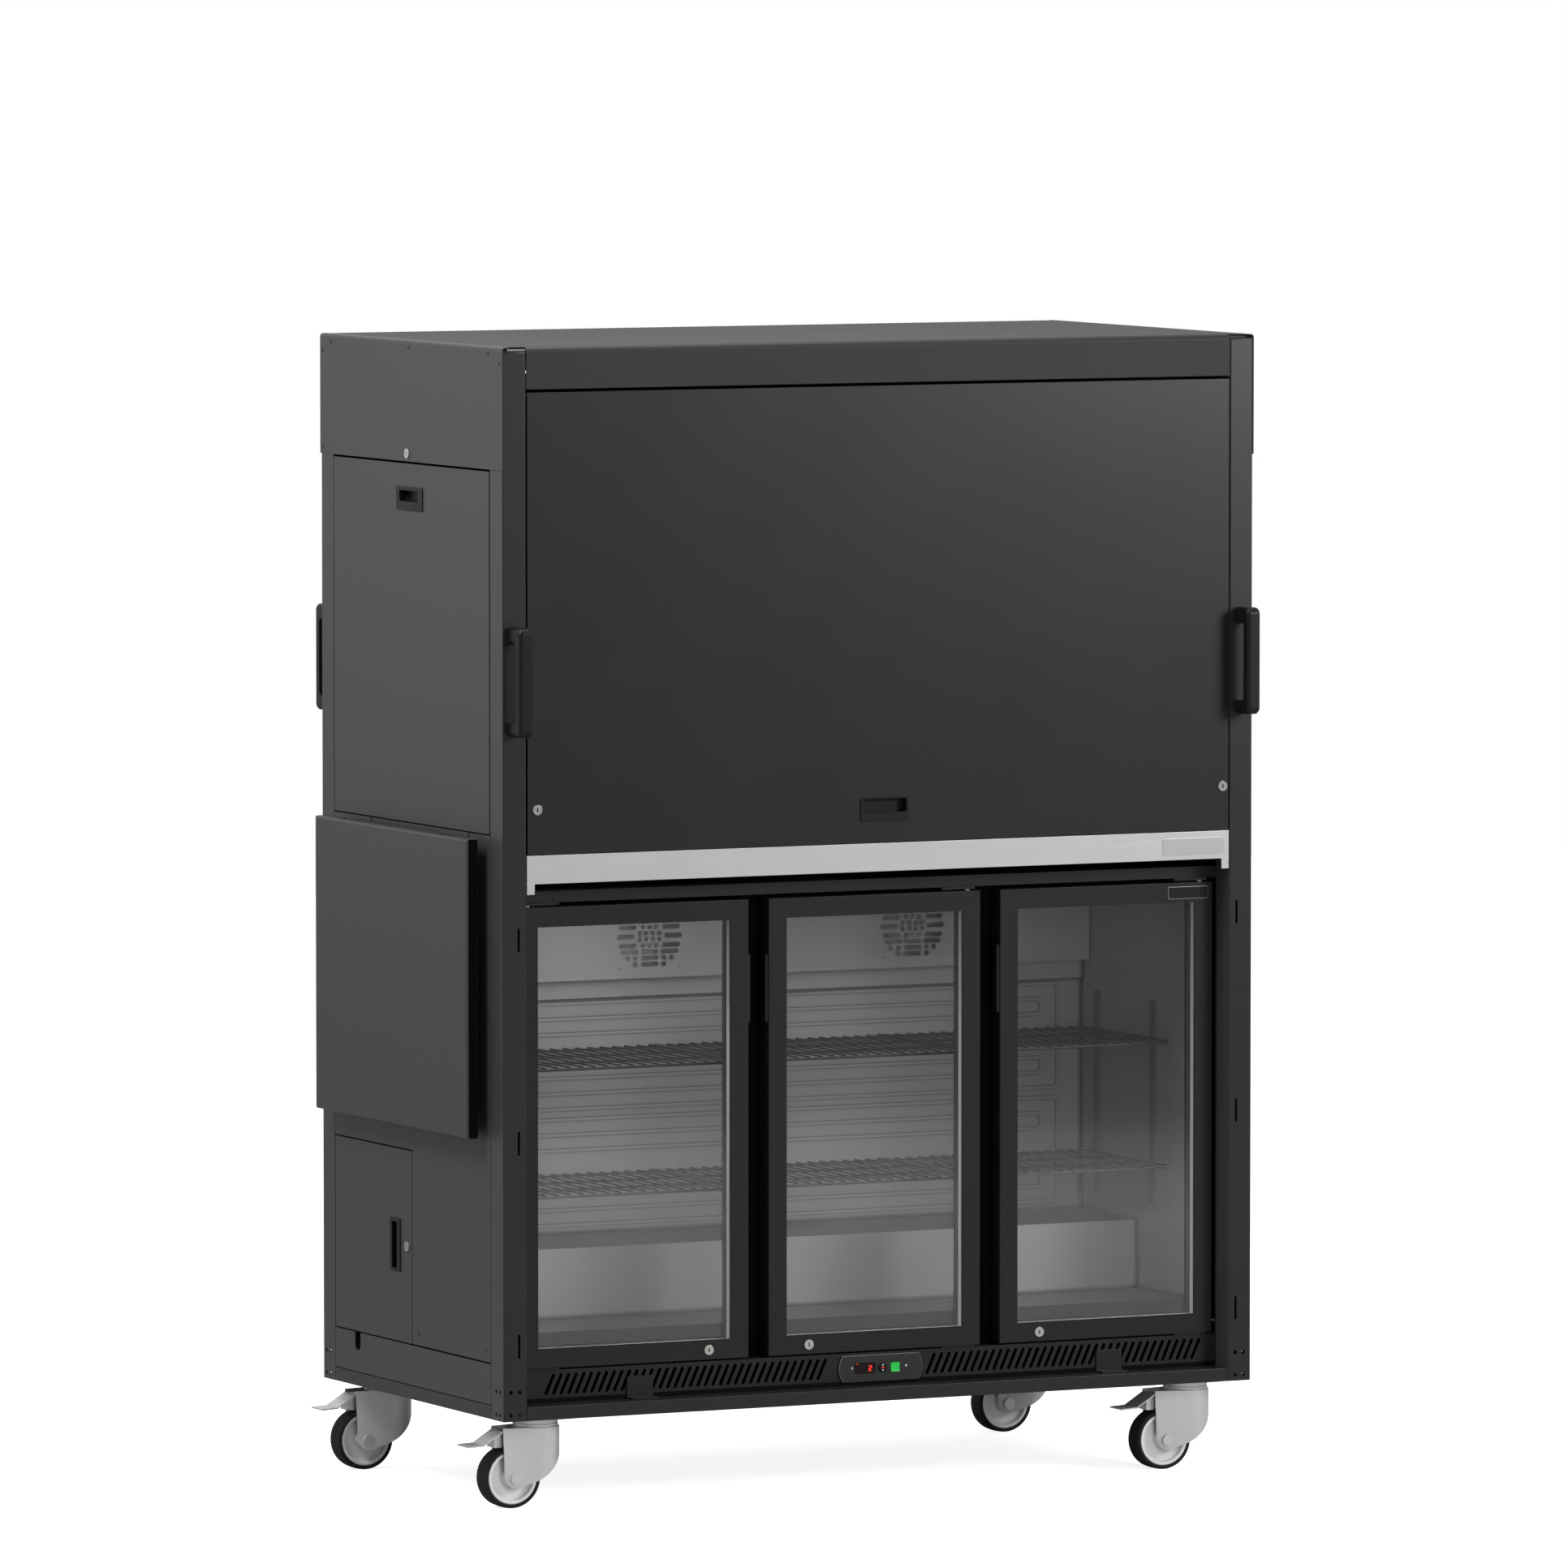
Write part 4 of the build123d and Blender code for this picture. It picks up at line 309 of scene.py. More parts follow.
@dataclass(frozen=True)
class CreaseShadedSheet(PlatedSteel):
    """Satin aluminium sheet with painted shade in the creases beside its pressed ribs."""

    shade_reach_mm: float = 11.0
    painted_shade_colour: str = "#1c1c1d"
    shade_from: float = 0.6
    shade_to: float = 0.97
    rays: int = 8

    def refine(self, look: Look) -> None:
        """Adds the clouds and paints shade into the creases.

        Args:
            look: The material in the making.
        """
        tree, shader = look.tree, look.shader
        self.mottle(look)
        clouds = shader.inputs["Base Color"].links[0].from_socket
        # Painted shade: the colour darkens where ambient occlusion finds the sheet enclosed.
        openness = add_node(
            tree, "ShaderNodeAmbientOcclusion", {"samples": self.rays, "only_local": True},
            Distance=self.shade_reach_mm * MM,
        )
        shade = add_node(
            tree, "ShaderNodeMapRange", Value=openness.outputs["AO"],
            From_Min=self.shade_from, From_Max=self.shade_to,
        )
        mix = add_node(tree, "ShaderNodeMix", {"data_type": "RGBA"})
        tree.links.new(shade.outputs["Result"], mix.inputs["Factor"])
        mix.inputs[COLOUR_A].default_value = linear(self.painted_shade_colour)
        tree.links.new(clouds, mix.inputs[COLOUR_B])
        tree.links.new(mix.outputs[COLOUR_OUT], shader.inputs["Base Color"])


@dataclass(frozen=True)
class PerforatedStrip(Finish):
    """Bright aluminium strip with even rows of small holes that let its drying agent breathe."""

    pitch_mm: float = 3.0
    hole_share: float = 0.24
    hole_colour: str = "#4a4a4a"

    def refine(self, look: Look) -> None:
        """Adds the holes as dark dots on a square grid.

        Args:
            look: The material in the making.
        """
        tree, shader = look.tree, look.shader
        grid = add_node(
            tree, "ShaderNodeTexVoronoi", Vector=look.place, Scale=1 / (self.pitch_mm * MM), Randomness=0.0,
        )
        hole = add_node(
            tree, "ShaderNodeMath", {"operation": "LESS_THAN"}, Value=grid.outputs["Distance"],
        )
        hole.inputs[1].default_value = self.hole_share
        mix = add_node(tree, "ShaderNodeMix", {"data_type": "RGBA"})
        tree.links.new(hole.outputs["Value"], mix.inputs["Factor"])
        mix.inputs[COLOUR_A].default_value = linear(self.colour)
        mix.inputs[COLOUR_B].default_value = linear(self.hole_colour)
        tree.links.new(mix.outputs[COLOUR_OUT], shader.inputs["Base Color"])


@dataclass(frozen=True)
class WindowGlass(Finish):
    """Float glass: clear, with the faintest film, and open to the light that falls in."""

    ior: float = 1.5
    film_mm: float = 70
    haze: float = 0.03
    shadow_colour: str = "#f2f2f2"

    def refine(self, look: Look) -> None:
        """Makes the glass clear, and lets light through it to what stands behind.

        Args:
            look: The material in the making.
        """
        tree, shader = look.tree, look.shader
        shader.inputs["Transmission Weight"].default_value = 1.0
        shader.inputs["IOR"].default_value = self.ior
        film = add_node(
            tree, "ShaderNodeTexNoise", Vector=look.place, Scale=1 / (self.film_mm * MM), Detail=2.0,
        )
        haze = add_node(
            tree, "ShaderNodeMapRange", Value=film.outputs["Fac"], To_Min=0.0, To_Max=self.haze,
        )
        tree.links.new(haze.outputs["Result"], shader.inputs["Roughness"])
        clear = add_node(tree, "ShaderNodeBsdfTransparent", Color=linear(self.shadow_colour))
        path = add_node(tree, "ShaderNodeLightPath")
        both = add_node(tree, "ShaderNodeMixShader", Fac=path.outputs["Is Shadow Ray"])
        tree.links.new(shader.outputs["BSDF"], both.inputs[1])
        tree.links.new(clear.outputs["BSDF"], both.inputs[2])
        tree.links.new(both.outputs["Shader"], look.output.inputs["Surface"])


@dataclass(frozen=True)
class LitPlastic(Finish):
    """Tinted acrylic with a lamp behind it: its colour glows evenly."""

    cloud_mm: float = 20
    spread: float = 0.05
    glow: str = "#ff2010"
    strength: float = 1.0

    def refine(self, look: Look) -> None:
        """Adds the glow.

        Args:
            look: The material in the making.
        """
        self.mottle(look)
        look.shader.inputs["Emission Color"].default_value = linear(self.glow)
        look.shader.inputs["Emission Strength"].default_value = self.strength


class Finishes:
    """Every finish on the station, made once."""

    def __init__(self) -> None:
        """Makes the materials."""
        # One charcoal powder coat in lit and shaded copies, with painted light and shade in their colours:
        # the front, post and top copies are darker and the side and leaf copies lighter, for how the light
        # falls on their faces.
        self.front = PowderCoat("charcoal_powder_coat_front_painted_shade", "#141416", 0.31, gloss=0.46).build()
        self.side = PowderCoat("charcoal_powder_coat_side_painted_light", "#3a3a3d", 0.42).build()
        self.post_painted_shade = PowderCoat("charcoal_powder_coat_post_painted_shade", "#18181b", 0.33, gloss=0.44).build()
        self.top = PowderCoat("charcoal_powder_coat_top_painted_shade", "#1c1c1e", 0.56, gloss=0.36).build()
        # Near-black painted shade: for keyways, seams, gaps and faces that lie in shade, and for the black
        # cooler cabinet, which it paints darker than the cooler's own black.
        self.shade_black = PowderCoat("near_black_painted_shade", "#060607", 0.6, gloss=0.08).build()
        self.leaf = PowderCoat("charcoal_powder_coat_leaf_painted_light", "#373739", 0.4).build()
        self.cooler = PowderCoat("black_powder_coat_cooler", "#171719", 0.35, grain_mm=1.2).build()
        self.grille = PowderCoat("black_powder_coat_grille", "#141416", 0.45, grain_mm=1.2).build()
        self.stainless = BrushedSteel("brushed_stainless_worktop", "#cbcbcb", 0.32, 0.75).build()
        self.badge = PlatedSteel("satin_aluminium_plate", "#b9b9ba", 0.34, 0.7, 400, 0.02).build()
        self.zinc = PlatedSteel("bright_zinc_plate", "#cdcecf", 0.3, 0.55).build()
        self.nickel = PlatedSteel("nickel_plate", "#b9b7b3", 0.22, 0.7).build()
        self.liner = CreaseShadedSheet("satin_aluminium_liner", "#8d8d8d", 0.42, 0.35, 120, 0.05).build()
        # Painted shade: a darker copy of the liner sheet for its upward faces, for the light that falls on
        # them.
        self.liner_up_shade_copy = CreaseShadedSheet("satin_aluminium_liner_up_painted_shade", "#363638", 0.45, 0.2, 120, 0.05).build()
        self.spacer = PerforatedStrip("glazing_spacer_aluminium", "#dcdcdc", 0.4, 0.2).build()
        self.shelf = PowderCoat("dark_epoxy_shelf_wire", "#2b2b2c", 0.35, grain_mm=1.0).build()
        self.plastic = MouldedPlastic("black_abs", "#0f0f10", 0.42).build()
        self.bezel = MouldedPlastic("dark_grey_abs", "#1f1f20", 0.4, gloss=0.4).build()
        # Painted highlight: a lighter grey for the bezel's slanted faces, where light catches them.
        self.bezel_highlight = MouldedPlastic("grey_abs_painted_highlight", "#5c5c5d", 0.4, gloss=0.4).build()
        self.nylon = MouldedPlastic("light_grey_nylon_rim", "#d2d2d0", 0.42).build()
        self.rubber = MouldedPlastic("black_tyre_rubber", "#1c1c1d", 0.68, grain_mm=1.4).build()
        self.pilaster = PlatedSteel("dull_zinc_plate", "#5a5a5b", 0.5, 0.4).build()
        self.glass = WindowGlass("clear_float_glass", "#f2f2f2", 0.0).build()
        self.screen = MouldedPlastic("dark_red_acrylic_screen", "#120606", 0.2).build()
        self.digit = LitPlastic("lit_red_segment", "#ff3a20", 0.3, glow="#ff2a14", strength=2.2).build()
        self.rocker = LitPlastic("lit_green_rocker", "#1c9a3a", 0.25, glow="#1fae3d", strength=0.35).build()
        self.mark = MouldedPlastic("white_printed_mark", "#e6efe6", 0.4).build()
        self.enamel = PowderCoat("black_compressor_enamel", "#111112", 0.25).build()


class Piece:
    """A mesh in the making, in metres of the frame."""

    def __init__(self, name: str) -> None:
        """Starts an empty mesh.

        Args:
            name: The name its object will have.
        """
        self.name = name
        self.mesh = bmesh.new()

    def block(self, low: Vector, high: Vector) -> None:
        """Adds a block.

        Args:
            low: Its lowest front left corner.
            high: Its highest back right corner.
        """
        matrix = Matrix.Translation((low + high) / 2) @ Matrix.Diagonal((*(high - low), 1))
        bmesh.ops.create_cube(self.mesh, size=1, matrix=matrix)

    def rod(self, start: Vector, end: Vector, radius: float, steps: int, tip: Optional[float] = None) -> None:
        """Adds a round bar.

        Args:
            start: Centre of one end.
            end: Centre of the other end.
            radius: Radius at the start, in millimetres.
            steps: Sides of the bar.
            tip: Radius at the end, if it differs.
        """
        along = end - start
        turn = along.to_track_quat("Z", "Y").to_matrix().to_4x4()
        bmesh.ops.create_cone(
            self.mesh, cap_ends=True, segments=steps, radius1=radius * MM,
            radius2=(radius if tip is None else tip) * MM, depth=along.length,
            matrix=Matrix.Translation((start + end) / 2) @ turn,
        )

    def ring(self, centre: Vector, axis: Axis, profile: Sequence[tuple[float, float]], steps: int) -> None:
        """Spins a closed profile about an axis.

        Args:
            centre: A point on the axis.
            axis: The direction of the axis.
            profile: Pairs of distance along the axis and radius, in millimetres.
            steps: Divisions of the full turn.
        """
        across = Axis.Z.value if axis is not Axis.Z else Axis.X.value
        points = [centre + (axis.value * along + across * radius) * MM for along, radius in profile]
        verts = [self.mesh.verts.new(p) for p in points]
        edges = [self.mesh.edges.new((verts[i], verts[(i + 1) % len(verts)])) for i in range(len(verts))]
        bmesh.ops.spin(
            self.mesh, geom=verts + edges, cent=centre, axis=axis.value, angle=math.tau, steps=steps,
            use_merge=True,
        )

    def bevel(self, edges: Sequence[bmesh.types.BMEdge], width: float, segments: int) -> None:
        """Rounds some edges.

        Args:
            edges: The edges.
            width: Width of the bevel, in millimetres.
            segments: Steps across it.
        """
        bmesh.ops.bevel(
            self.mesh, geom=edges, offset=width * MM, offset_type="OFFSET", affect="EDGES",
            segments=segments, profile=0.5, clamp_overlap=True, material=-1,
        )

    def soften(self, width: float, segments: int = 2) -> None:
        """Rounds every sharp edge.

        Args:
            width: Width of the bevel, in millimetres.
            segments: Steps across it.
        """
        sharp = [
            e for e in self.mesh.edges
            if len(e.link_faces) == 2 and e.calc_face_angle(0) > math.radians(SHARP_TURN)
        ]
        self.bevel(sharp, width, segments)

    def done(self, material: Material, body: str, stands_for: Sequence[str] = (),
             recalculate: bool = True) -> bpy.types.Object:
        """Turns the mesh into an object that rides on a body.

        Args:
            material: Its finish.
            body: The body that it moves with.
            stands_for: CAD nodes that it replaces.
            recalculate: Whether its faces are turned outwards first.

        Returns:
            The new object.
        """
        if recalculate:
            bmesh.ops.remove_doubles(self.mesh, verts=self.mesh.verts, dist=MERGE_NEW)
            bmesh.ops.recalc_face_normals(self.mesh, faces=self.mesh.faces)
        data = bpy.data.meshes.new(self.name)
        self.mesh.to_mesh(data)
        self.mesh.free()
        data.polygons.foreach_set("use_smooth", [True] * len(data.polygons))
        data.set_sharp_from_angle(angle=math.radians(SMOOTH_TURN))
        data.materials.append(material)
        piece = bpy.data.objects.new(self.name, data)
        bpy.context.scene.collection.objects.link(piece)
        weighted = piece.modifiers.new("flat_faces_stay_flat", "WEIGHTED_NORMAL")
        weighted.keep_sharp = True
        weighted.weight = 100
        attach(piece, body)
        if stands_for:
            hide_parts(*stands_for)
        LOG.info("%s: %d faces on %s", self.name, len(data.polygons), body)
        return piece


def softened(node: str, ending: str, material: Material, body: str, width: float = 0.5,
             segments: int = 2, second: Optional[Material] = None,
             where: Callable[[Face], bool] = bool) -> None:
    """Makes a piece with a CAD node's shape and real, rounded sheet and casting edges.

    Args:
        node: The CAD node that it stands for.
        ending: What the piece's name has after the node's.
        material: Its finish.
        body: The body that it moves with.
        width: Width of the rounded edges, in millimetres.
        segments: Steps across them.
        second: A second finish, if the piece has one.
        where: Says which faces have the second finish.
    """
    piece = Piece(f"{node}_{ending}")
    piece.mesh.from_mesh(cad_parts[node].data)
    bmesh.ops.remove_doubles(piece.mesh, verts=piece.mesh.verts, dist=MERGE_CAD)
    bmesh.ops.dissolve_limit(
        piece.mesh, angle_limit=math.radians(FLAT_TURN), verts=piece.mesh.verts, edges=piece.mesh.edges,
    )
    piece.soften(width, segments)
    made = piece.done(material, body, [node], recalculate=False)
    if second:
        made.data.materials.append(second)
        for face in made.data.polygons:
            face.material_index = int(where(face))


def dress(material: Material, nodes: Iterable[str]) -> None:
    """Gives CAD nodes whose shape is right a finish.

    Args:
        material: The finish.
        nodes: The nodes.
    """
    for node in nodes:
        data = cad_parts[node].data
        data.materials.clear()
        data.materials.append(material)
        LOG.info("%s: dressed", node)


def strip(name: str, bounds: tuple, material: Material, body: str, width: float = 0.0,
          segments: int = 1) -> None:
    """Makes a straight strip or plate.

    Args:
        name: The piece's name.
        bounds: Its left, right, front, back, low and high limits, in millimetres of the body.
        material: Its finish.
        body: The body that it moves with.
        width: Width of its rounded edges, in millimetres, or 0 for cut edges.
        segments: Steps across them.
    """
    left, right, front, back, low, high = bounds
    piece = Piece(name)
    piece.block(Body.at(left, front, low), Body.at(right, back, high))
    if width:
        piece.soften(width, segments)
    piece.done(material, body)


@dataclass
class Lock:
    """A nickel cylinder lock with painted shade inside its keyway."""

    node: str
    body: str
    facing: Axis
    finishes: Finishes
    edge: float = 0.4
    keyway_reach: float = 3.6
    keyway_start: float = 0.3
    keyway_end: float = 4.6

    def build(self) -> None:
        """Makes the lock, which faces the negative side of its axis."""
        low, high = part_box(self.node)
        # The keyway's faces get the near-black of painted shade.
        softened(
            self.node, "plated", self.finishes.nickel, self.body, self.edge,
            second=self.finishes.shade_black, where=lambda face: self.in_keyway(face, low, high),
        )

    def in_keyway(self, face: Face, low: Vector, high: Vector) -> bool:
        """Says whether a face lies in the keyway.

        Args:
            face: The face.
            low: The lock's lowest corner.
            high: The lock's highest corner.

        Returns:
            True where the face is sunk behind the lock's front and near its axis.
        """
        along = self.facing.value
        sunk = face.center.dot(along) - low.dot(along)
        away = face.center - (low + high) / 2
        across = (away - along * away.dot(along)).length
        return self.keyway_start * MM < sunk < self.keyway_end * MM and across < self.keyway_reach * MM


@dataclass
class Screw:
    """A domed cross-head screw on a flat face. Its shares are of its height or its radius."""

    radius: float = 4.0
    height: float = 1.6
    slot: float = 0.9
    sunk: float = 0.2
    rim_share: float = 0.45
    dome_share: float = 0.62
    cross_share: float = 0.42
    steps: int = 24
    slot_steps: int = 8

    def add(self, piece: Piece, foot: Vector, outward: Vector) -> None:
        """Adds the head to a piece.

        Args:
            piece: The mesh that gets it.
            foot: The middle of its foot, on the face.
            outward: The face's outward direction.
        """
        rise = outward * self.height * MM
        rim = foot + rise * self.rim_share
        piece.rod(foot - outward * self.sunk * MM, rim, self.radius, self.steps)
        piece.rod(rim, foot + rise, self.radius, self.steps, tip=self.radius * self.dome_share)
        side = outward.orthogonal().normalized()
        for arm in (side, outward.cross(side)):
            reach = arm * self.radius * self.cross_share * MM
            piece.rod(foot + rise - reach, foot + rise + reach, self.slot / 2, self.slot_steps)


@dataclass
class Shell:
    """The painted body: posts, header, panels, base and what is screwed to them."""

    finishes: Finishes
    sheet_edge: float = 0.4
    flat_share: float = 0.9
    rail_lip: tuple = (44.5, 1395.5, 40.0, 52.0, 21.5, 23.5)
    back_seam_shade: tuple = (45.8, 1394.2, 736.0, 739.0, 960.0, 967.5)
    header_face: float = -1.5
    header_screws: tuple = (
        (706.9, 1818), (380.5, 1819), (56, 1819), (741, 1802), (11, 1803.6), (741, 1634),
    )
    right_face: float = 1440.0
    panel_screws: tuple = ((348, 118), (71.8, 116.7))
    screw: Screw = field(default_factory=Screw)
    flat_screw: Screw = field(default_factory=lambda: Screw(height=0.9, slot=0.6))

    def build(self) -> None:
        """Makes every piece of the body."""
        f = self.finishes
        # Painted light and shade: the posts, base frame and rail lip get the darker post copy of the charcoal
        # paint, and the posts' left faces get the lighter side copy.
        softened(
            "corner_posts", "coated", f.post_painted_shade, "cabinet", width=0.6,
            second=f.side, where=lambda face: face.normal.x < -self.flat_share,
        )
        softened("base_frame", "coated", f.post_painted_shade, "cabinet", width=0.8)
        # Painted shade: a near-black strip in the seam along the back of the worktop, where there is only
        # shade.
        strip("back_seam_painted_shade", self.back_seam_shade, f.shade_black, "cabinet")
        # Painted light and shade: the top cover gets the darker top copy of the paint, and the side panels,
        # back panels and hinges get the lighter side copy.
        for node, finish, slot in (
            ("top_cover", f.top, "powder_coat_top"),
            ("left_side_panels", f.side, "powder_coat_side"),
            ("right_side_panels", f.side, "powder_coat"),
            ("back_panels", f.side, "powder_coat"),
            ("panel_hinges", f.side, "powder_coat_side"),
        ):
            softened(node, "coated", finish, "cabinet", self.sheet_edge)
        strip("front_rail_lip", self.rail_lip, f.post_painted_shade, "cabinet", width=0.3)
        self.screw_heads()
        softened("grab_handles", "moulded", f.plastic, "cabinet", width=2.2, segments=4)

    def screw_heads(self) -> None:
        """Makes the heads on the side panels. The right header has none, to stay in the box."""
        heads = Piece("panel_screw_heads")
        outward = Axis.X.value
        for y, z in self.header_screws:
            self.screw.add(heads, Body.at(self.header_face, y, z), -outward)
        for y, z in self.panel_screws:
            self.screw.add(heads, Body.at(0, y, z), -outward)
            self.flat_screw.add(heads, Body.at(self.right_face, y, z), outward)
        heads.done(self.finishes.side, "cabinet")


@dataclass
class Doors:
    """The flap, both side doors and the drop leaf, with their pulls and locks."""

    finishes: Finishes
    edge_share: float = 0.95

    def build(self) -> None:
        """Makes the panels, pulls and locks."""
        f = self.finishes
        # Painted light and shade: the flap gets the darker front copy of the charcoal paint, and the side and
        # service doors get the lighter side copy.
        for body, finish, slot in (
            ("flap", f.front, "powder_coat"),
            ("side_door", f.side, "powder_coat_side"),
            ("service_door", f.side, "powder_coat_side"),
        ):
            softened(f"{body}_panel", "coated", finish, body)
        # Painted light and shade: the drop leaf gets the lighter leaf copy of the paint, and its front and
        # back edge faces get the near-black of painted shade.
        softened(
            "drop_leaf", "coated", f.leaf, "leaf", width=0.6,
            second=f.shade_black, where=lambda face: abs(face.normal.y) > self.edge_share,
        )
        for body in ("flap", "side_door", "service_door"):
            softened(f"{body}_pull", "moulded", f.plastic, body, width=0.7, segments=3)
        for node, facing in (
            ("flap_lock_left", Axis.Y), ("flap_lock_right", Axis.Y),
            ("header_lock", Axis.X), ("service_lock", Axis.X),
        ):
            Lock(node, f"{node}_body", facing, f).build()


@dataclass
class Worktop:
    """The stainless worktop with a bare plate on its apron."""

    finishes: Finishes
    bay: tuple = (46.0, 1394.0)
    tab_drop: float = 18.0
    tab_edge: float = 1.6
    tab_proud: float = 0.3
    plate: tuple = (1264.7, 1384.4, 926.0, 955.0)
    plate_proud: float = 1.0
    plate_corner: float = 4.0
    corner_steps: int = 6
    corner_share: float = 0.9

    def build(self) -> None:
        """Makes the worktop with painted shade on its tabs' faces, the bright edges of its two tabs, and the
        plate.
        """
        f = self.finishes
        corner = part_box("worktop")[0]
        tab_top = corner.z + self.tab_drop * MM
        # Painted shade: the worktop's faces within the tab drop of its lowest point get the near-black.
        softened(
            "worktop", "brushed", f.stainless, "cabinet",
            second=f.shade_black, where=lambda face: face.center.z < tab_top,
        )
        tabs = Piece("worktop_tab_edges")
        front = corner.y - self.tab_proud * MM
        width = self.tab_edge * MM
        bay_left, bay_right = (Body.at(x, 0, 0).x for x in self.bay)
        for edge in (bay_left, bay_right - width):
            tabs.block(Vector((edge, front, corner.z)), Vector((edge + width, corner.y, tab_top)))
        tabs.done(f.stainless, "cabinet")
        self.bare_plate()

    def bare_plate(self) -> None:
        """Makes the plate on the apron, with round corners."""
        left, right, low, high = self.plate
        plate = Piece("apron_plate")
        plate.block(Body.at(left, -self.plate_proud, low), Body.at(right, 0, high))
        corners = [
            e for e in plate.mesh.edges
            if abs((e.verts[0].co - e.verts[1].co).normalized().y) > self.corner_share
        ]
        plate.bevel(corners, self.plate_corner, self.corner_steps)
        plate.soften(width=0.3)
        plate.done(self.finishes.badge, "cabinet")


@dataclass
class CoolerDoor:
    """One glazed cooler door."""

    finishes: Finishes
    number: int
    pane: float = 4.0
    seal: float = 3.5
    spacer_width: float = 3.2

    def build(self) -> None:
        """Makes the door's frame, lock and glazing."""
        f = self.finishes
        body = f"cooler_door_{self.number}"
        frame_node = f"cooler_door_frame_{self.number}"
        softened(frame_node, "coated", f.cooler, body, width=0.6, segments=3)
        Lock(f"cooler_door_lock_{self.number}", f"cooler_door_lock_body_{self.number}", Axis.Y, f).build()
        self.glaze(body)

    def glaze(self, body: str) -> None:
        """Makes the two panes and the perforated spacer between them, a seal's width in.

        Args:
            body: The body that the glazing moves with.
        """
        node = f"cooler_door_glass_{self.number}"
        low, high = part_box(node)
        pane, seal, bar = self.pane * MM, self.seal * MM, self.spacer_width * MM
        panes = Piece(f"cooler_door_panes_{self.number}")
        panes.block(low, Vector((high.x, low.y + pane, high.z)))
        panes.block(Vector((low.x, high.y - pane, low.z)), high)
        panes.soften(width=0.3, segments=1)
        panes.done(self.finishes.glass, body, [node])
        front = low + Vector((seal, pane, seal))
        back = high - Vector((seal, pane, seal))
        left, right = front.x + bar, back.x - bar
        spacer = Piece(f"cooler_door_spacer_{self.number}")
        spacer.block(front, Vector((left, back.y, back.z)))
        spacer.block(Vector((right, front.y, front.z)), back)
        spacer.block(Vector((left, front.y, front.z)), Vector((right, back.y, front.z + bar)))
        spacer.block(Vector((left, front.y, back.z - bar)), Vector((right, back.y, back.z)))
        spacer.soften(width=0.4)
        spacer.done(self.finishes.spacer, body)


@dataclass
class Shelves:
    """The wire shelves: round wires on round frame wires, in three lengths between the mullions."""

    finishes: Finishes
    tops: tuple = (371.0, 590.0)
    mullions: tuple = (504.0, 950.5)
    mullion_half: float = 3.0
    wire: float = 3.6
    frame_wire: float = 5.0
    pitch: float = 23.5
    wire_drop: float = 2.0
    frame_drop: float = 5.5
    frame_shares: tuple = (0, 1 / 3, 2 / 3, 1)
    steps: int = 8

    def build(self) -> None:
        """Makes the shelves."""
        low, high = (Body.from_frame(corner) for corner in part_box("wire_shelves"))
        first, second = self.mullions
        half = self.mullion_half
        lengths = ((low.x, first - half), (first + half, second - half), (second + half, high.x))
        wires = Piece("wire_shelves_round")
        for top in self.tops:
            for left, right in lengths:
                self.shelf(wires, left, right, low.y, high.y, top)
        wires.done(self.finishes.shelf, "cabinet", ["wire_shelves"])

    def shelf(self, wires: Piece, left: float, right: float, front: float, back: float, top: float) -> None:
        """Adds one length of a shelf.

        Args:
            wires: The mesh that gets it.
            left: Its left end.
            right: Its right end.
            front: Its front edge.
            back: Its back edge.
            top: The height of its upper side.
        """
        thick = self.frame_wire / 2
        count = round((right - left) / self.pitch)
        for i in range(count + 1):
            x = left + thick + i * (right - left - self.frame_wire) / count
            z = top - self.wire_drop
            radius = thick if i in (0, count) else self.wire / 2
            wires.rod(Body.at(x, front, z), Body.at(x, back, z), radius, self.steps)
        for share in self.frame_shares:
            y = front + thick + share * (back - front - self.frame_wire)
            z = top - self.frame_drop
            wires.rod(Body.at(left, y, z), Body.at(right, y, z), thick, self.steps)


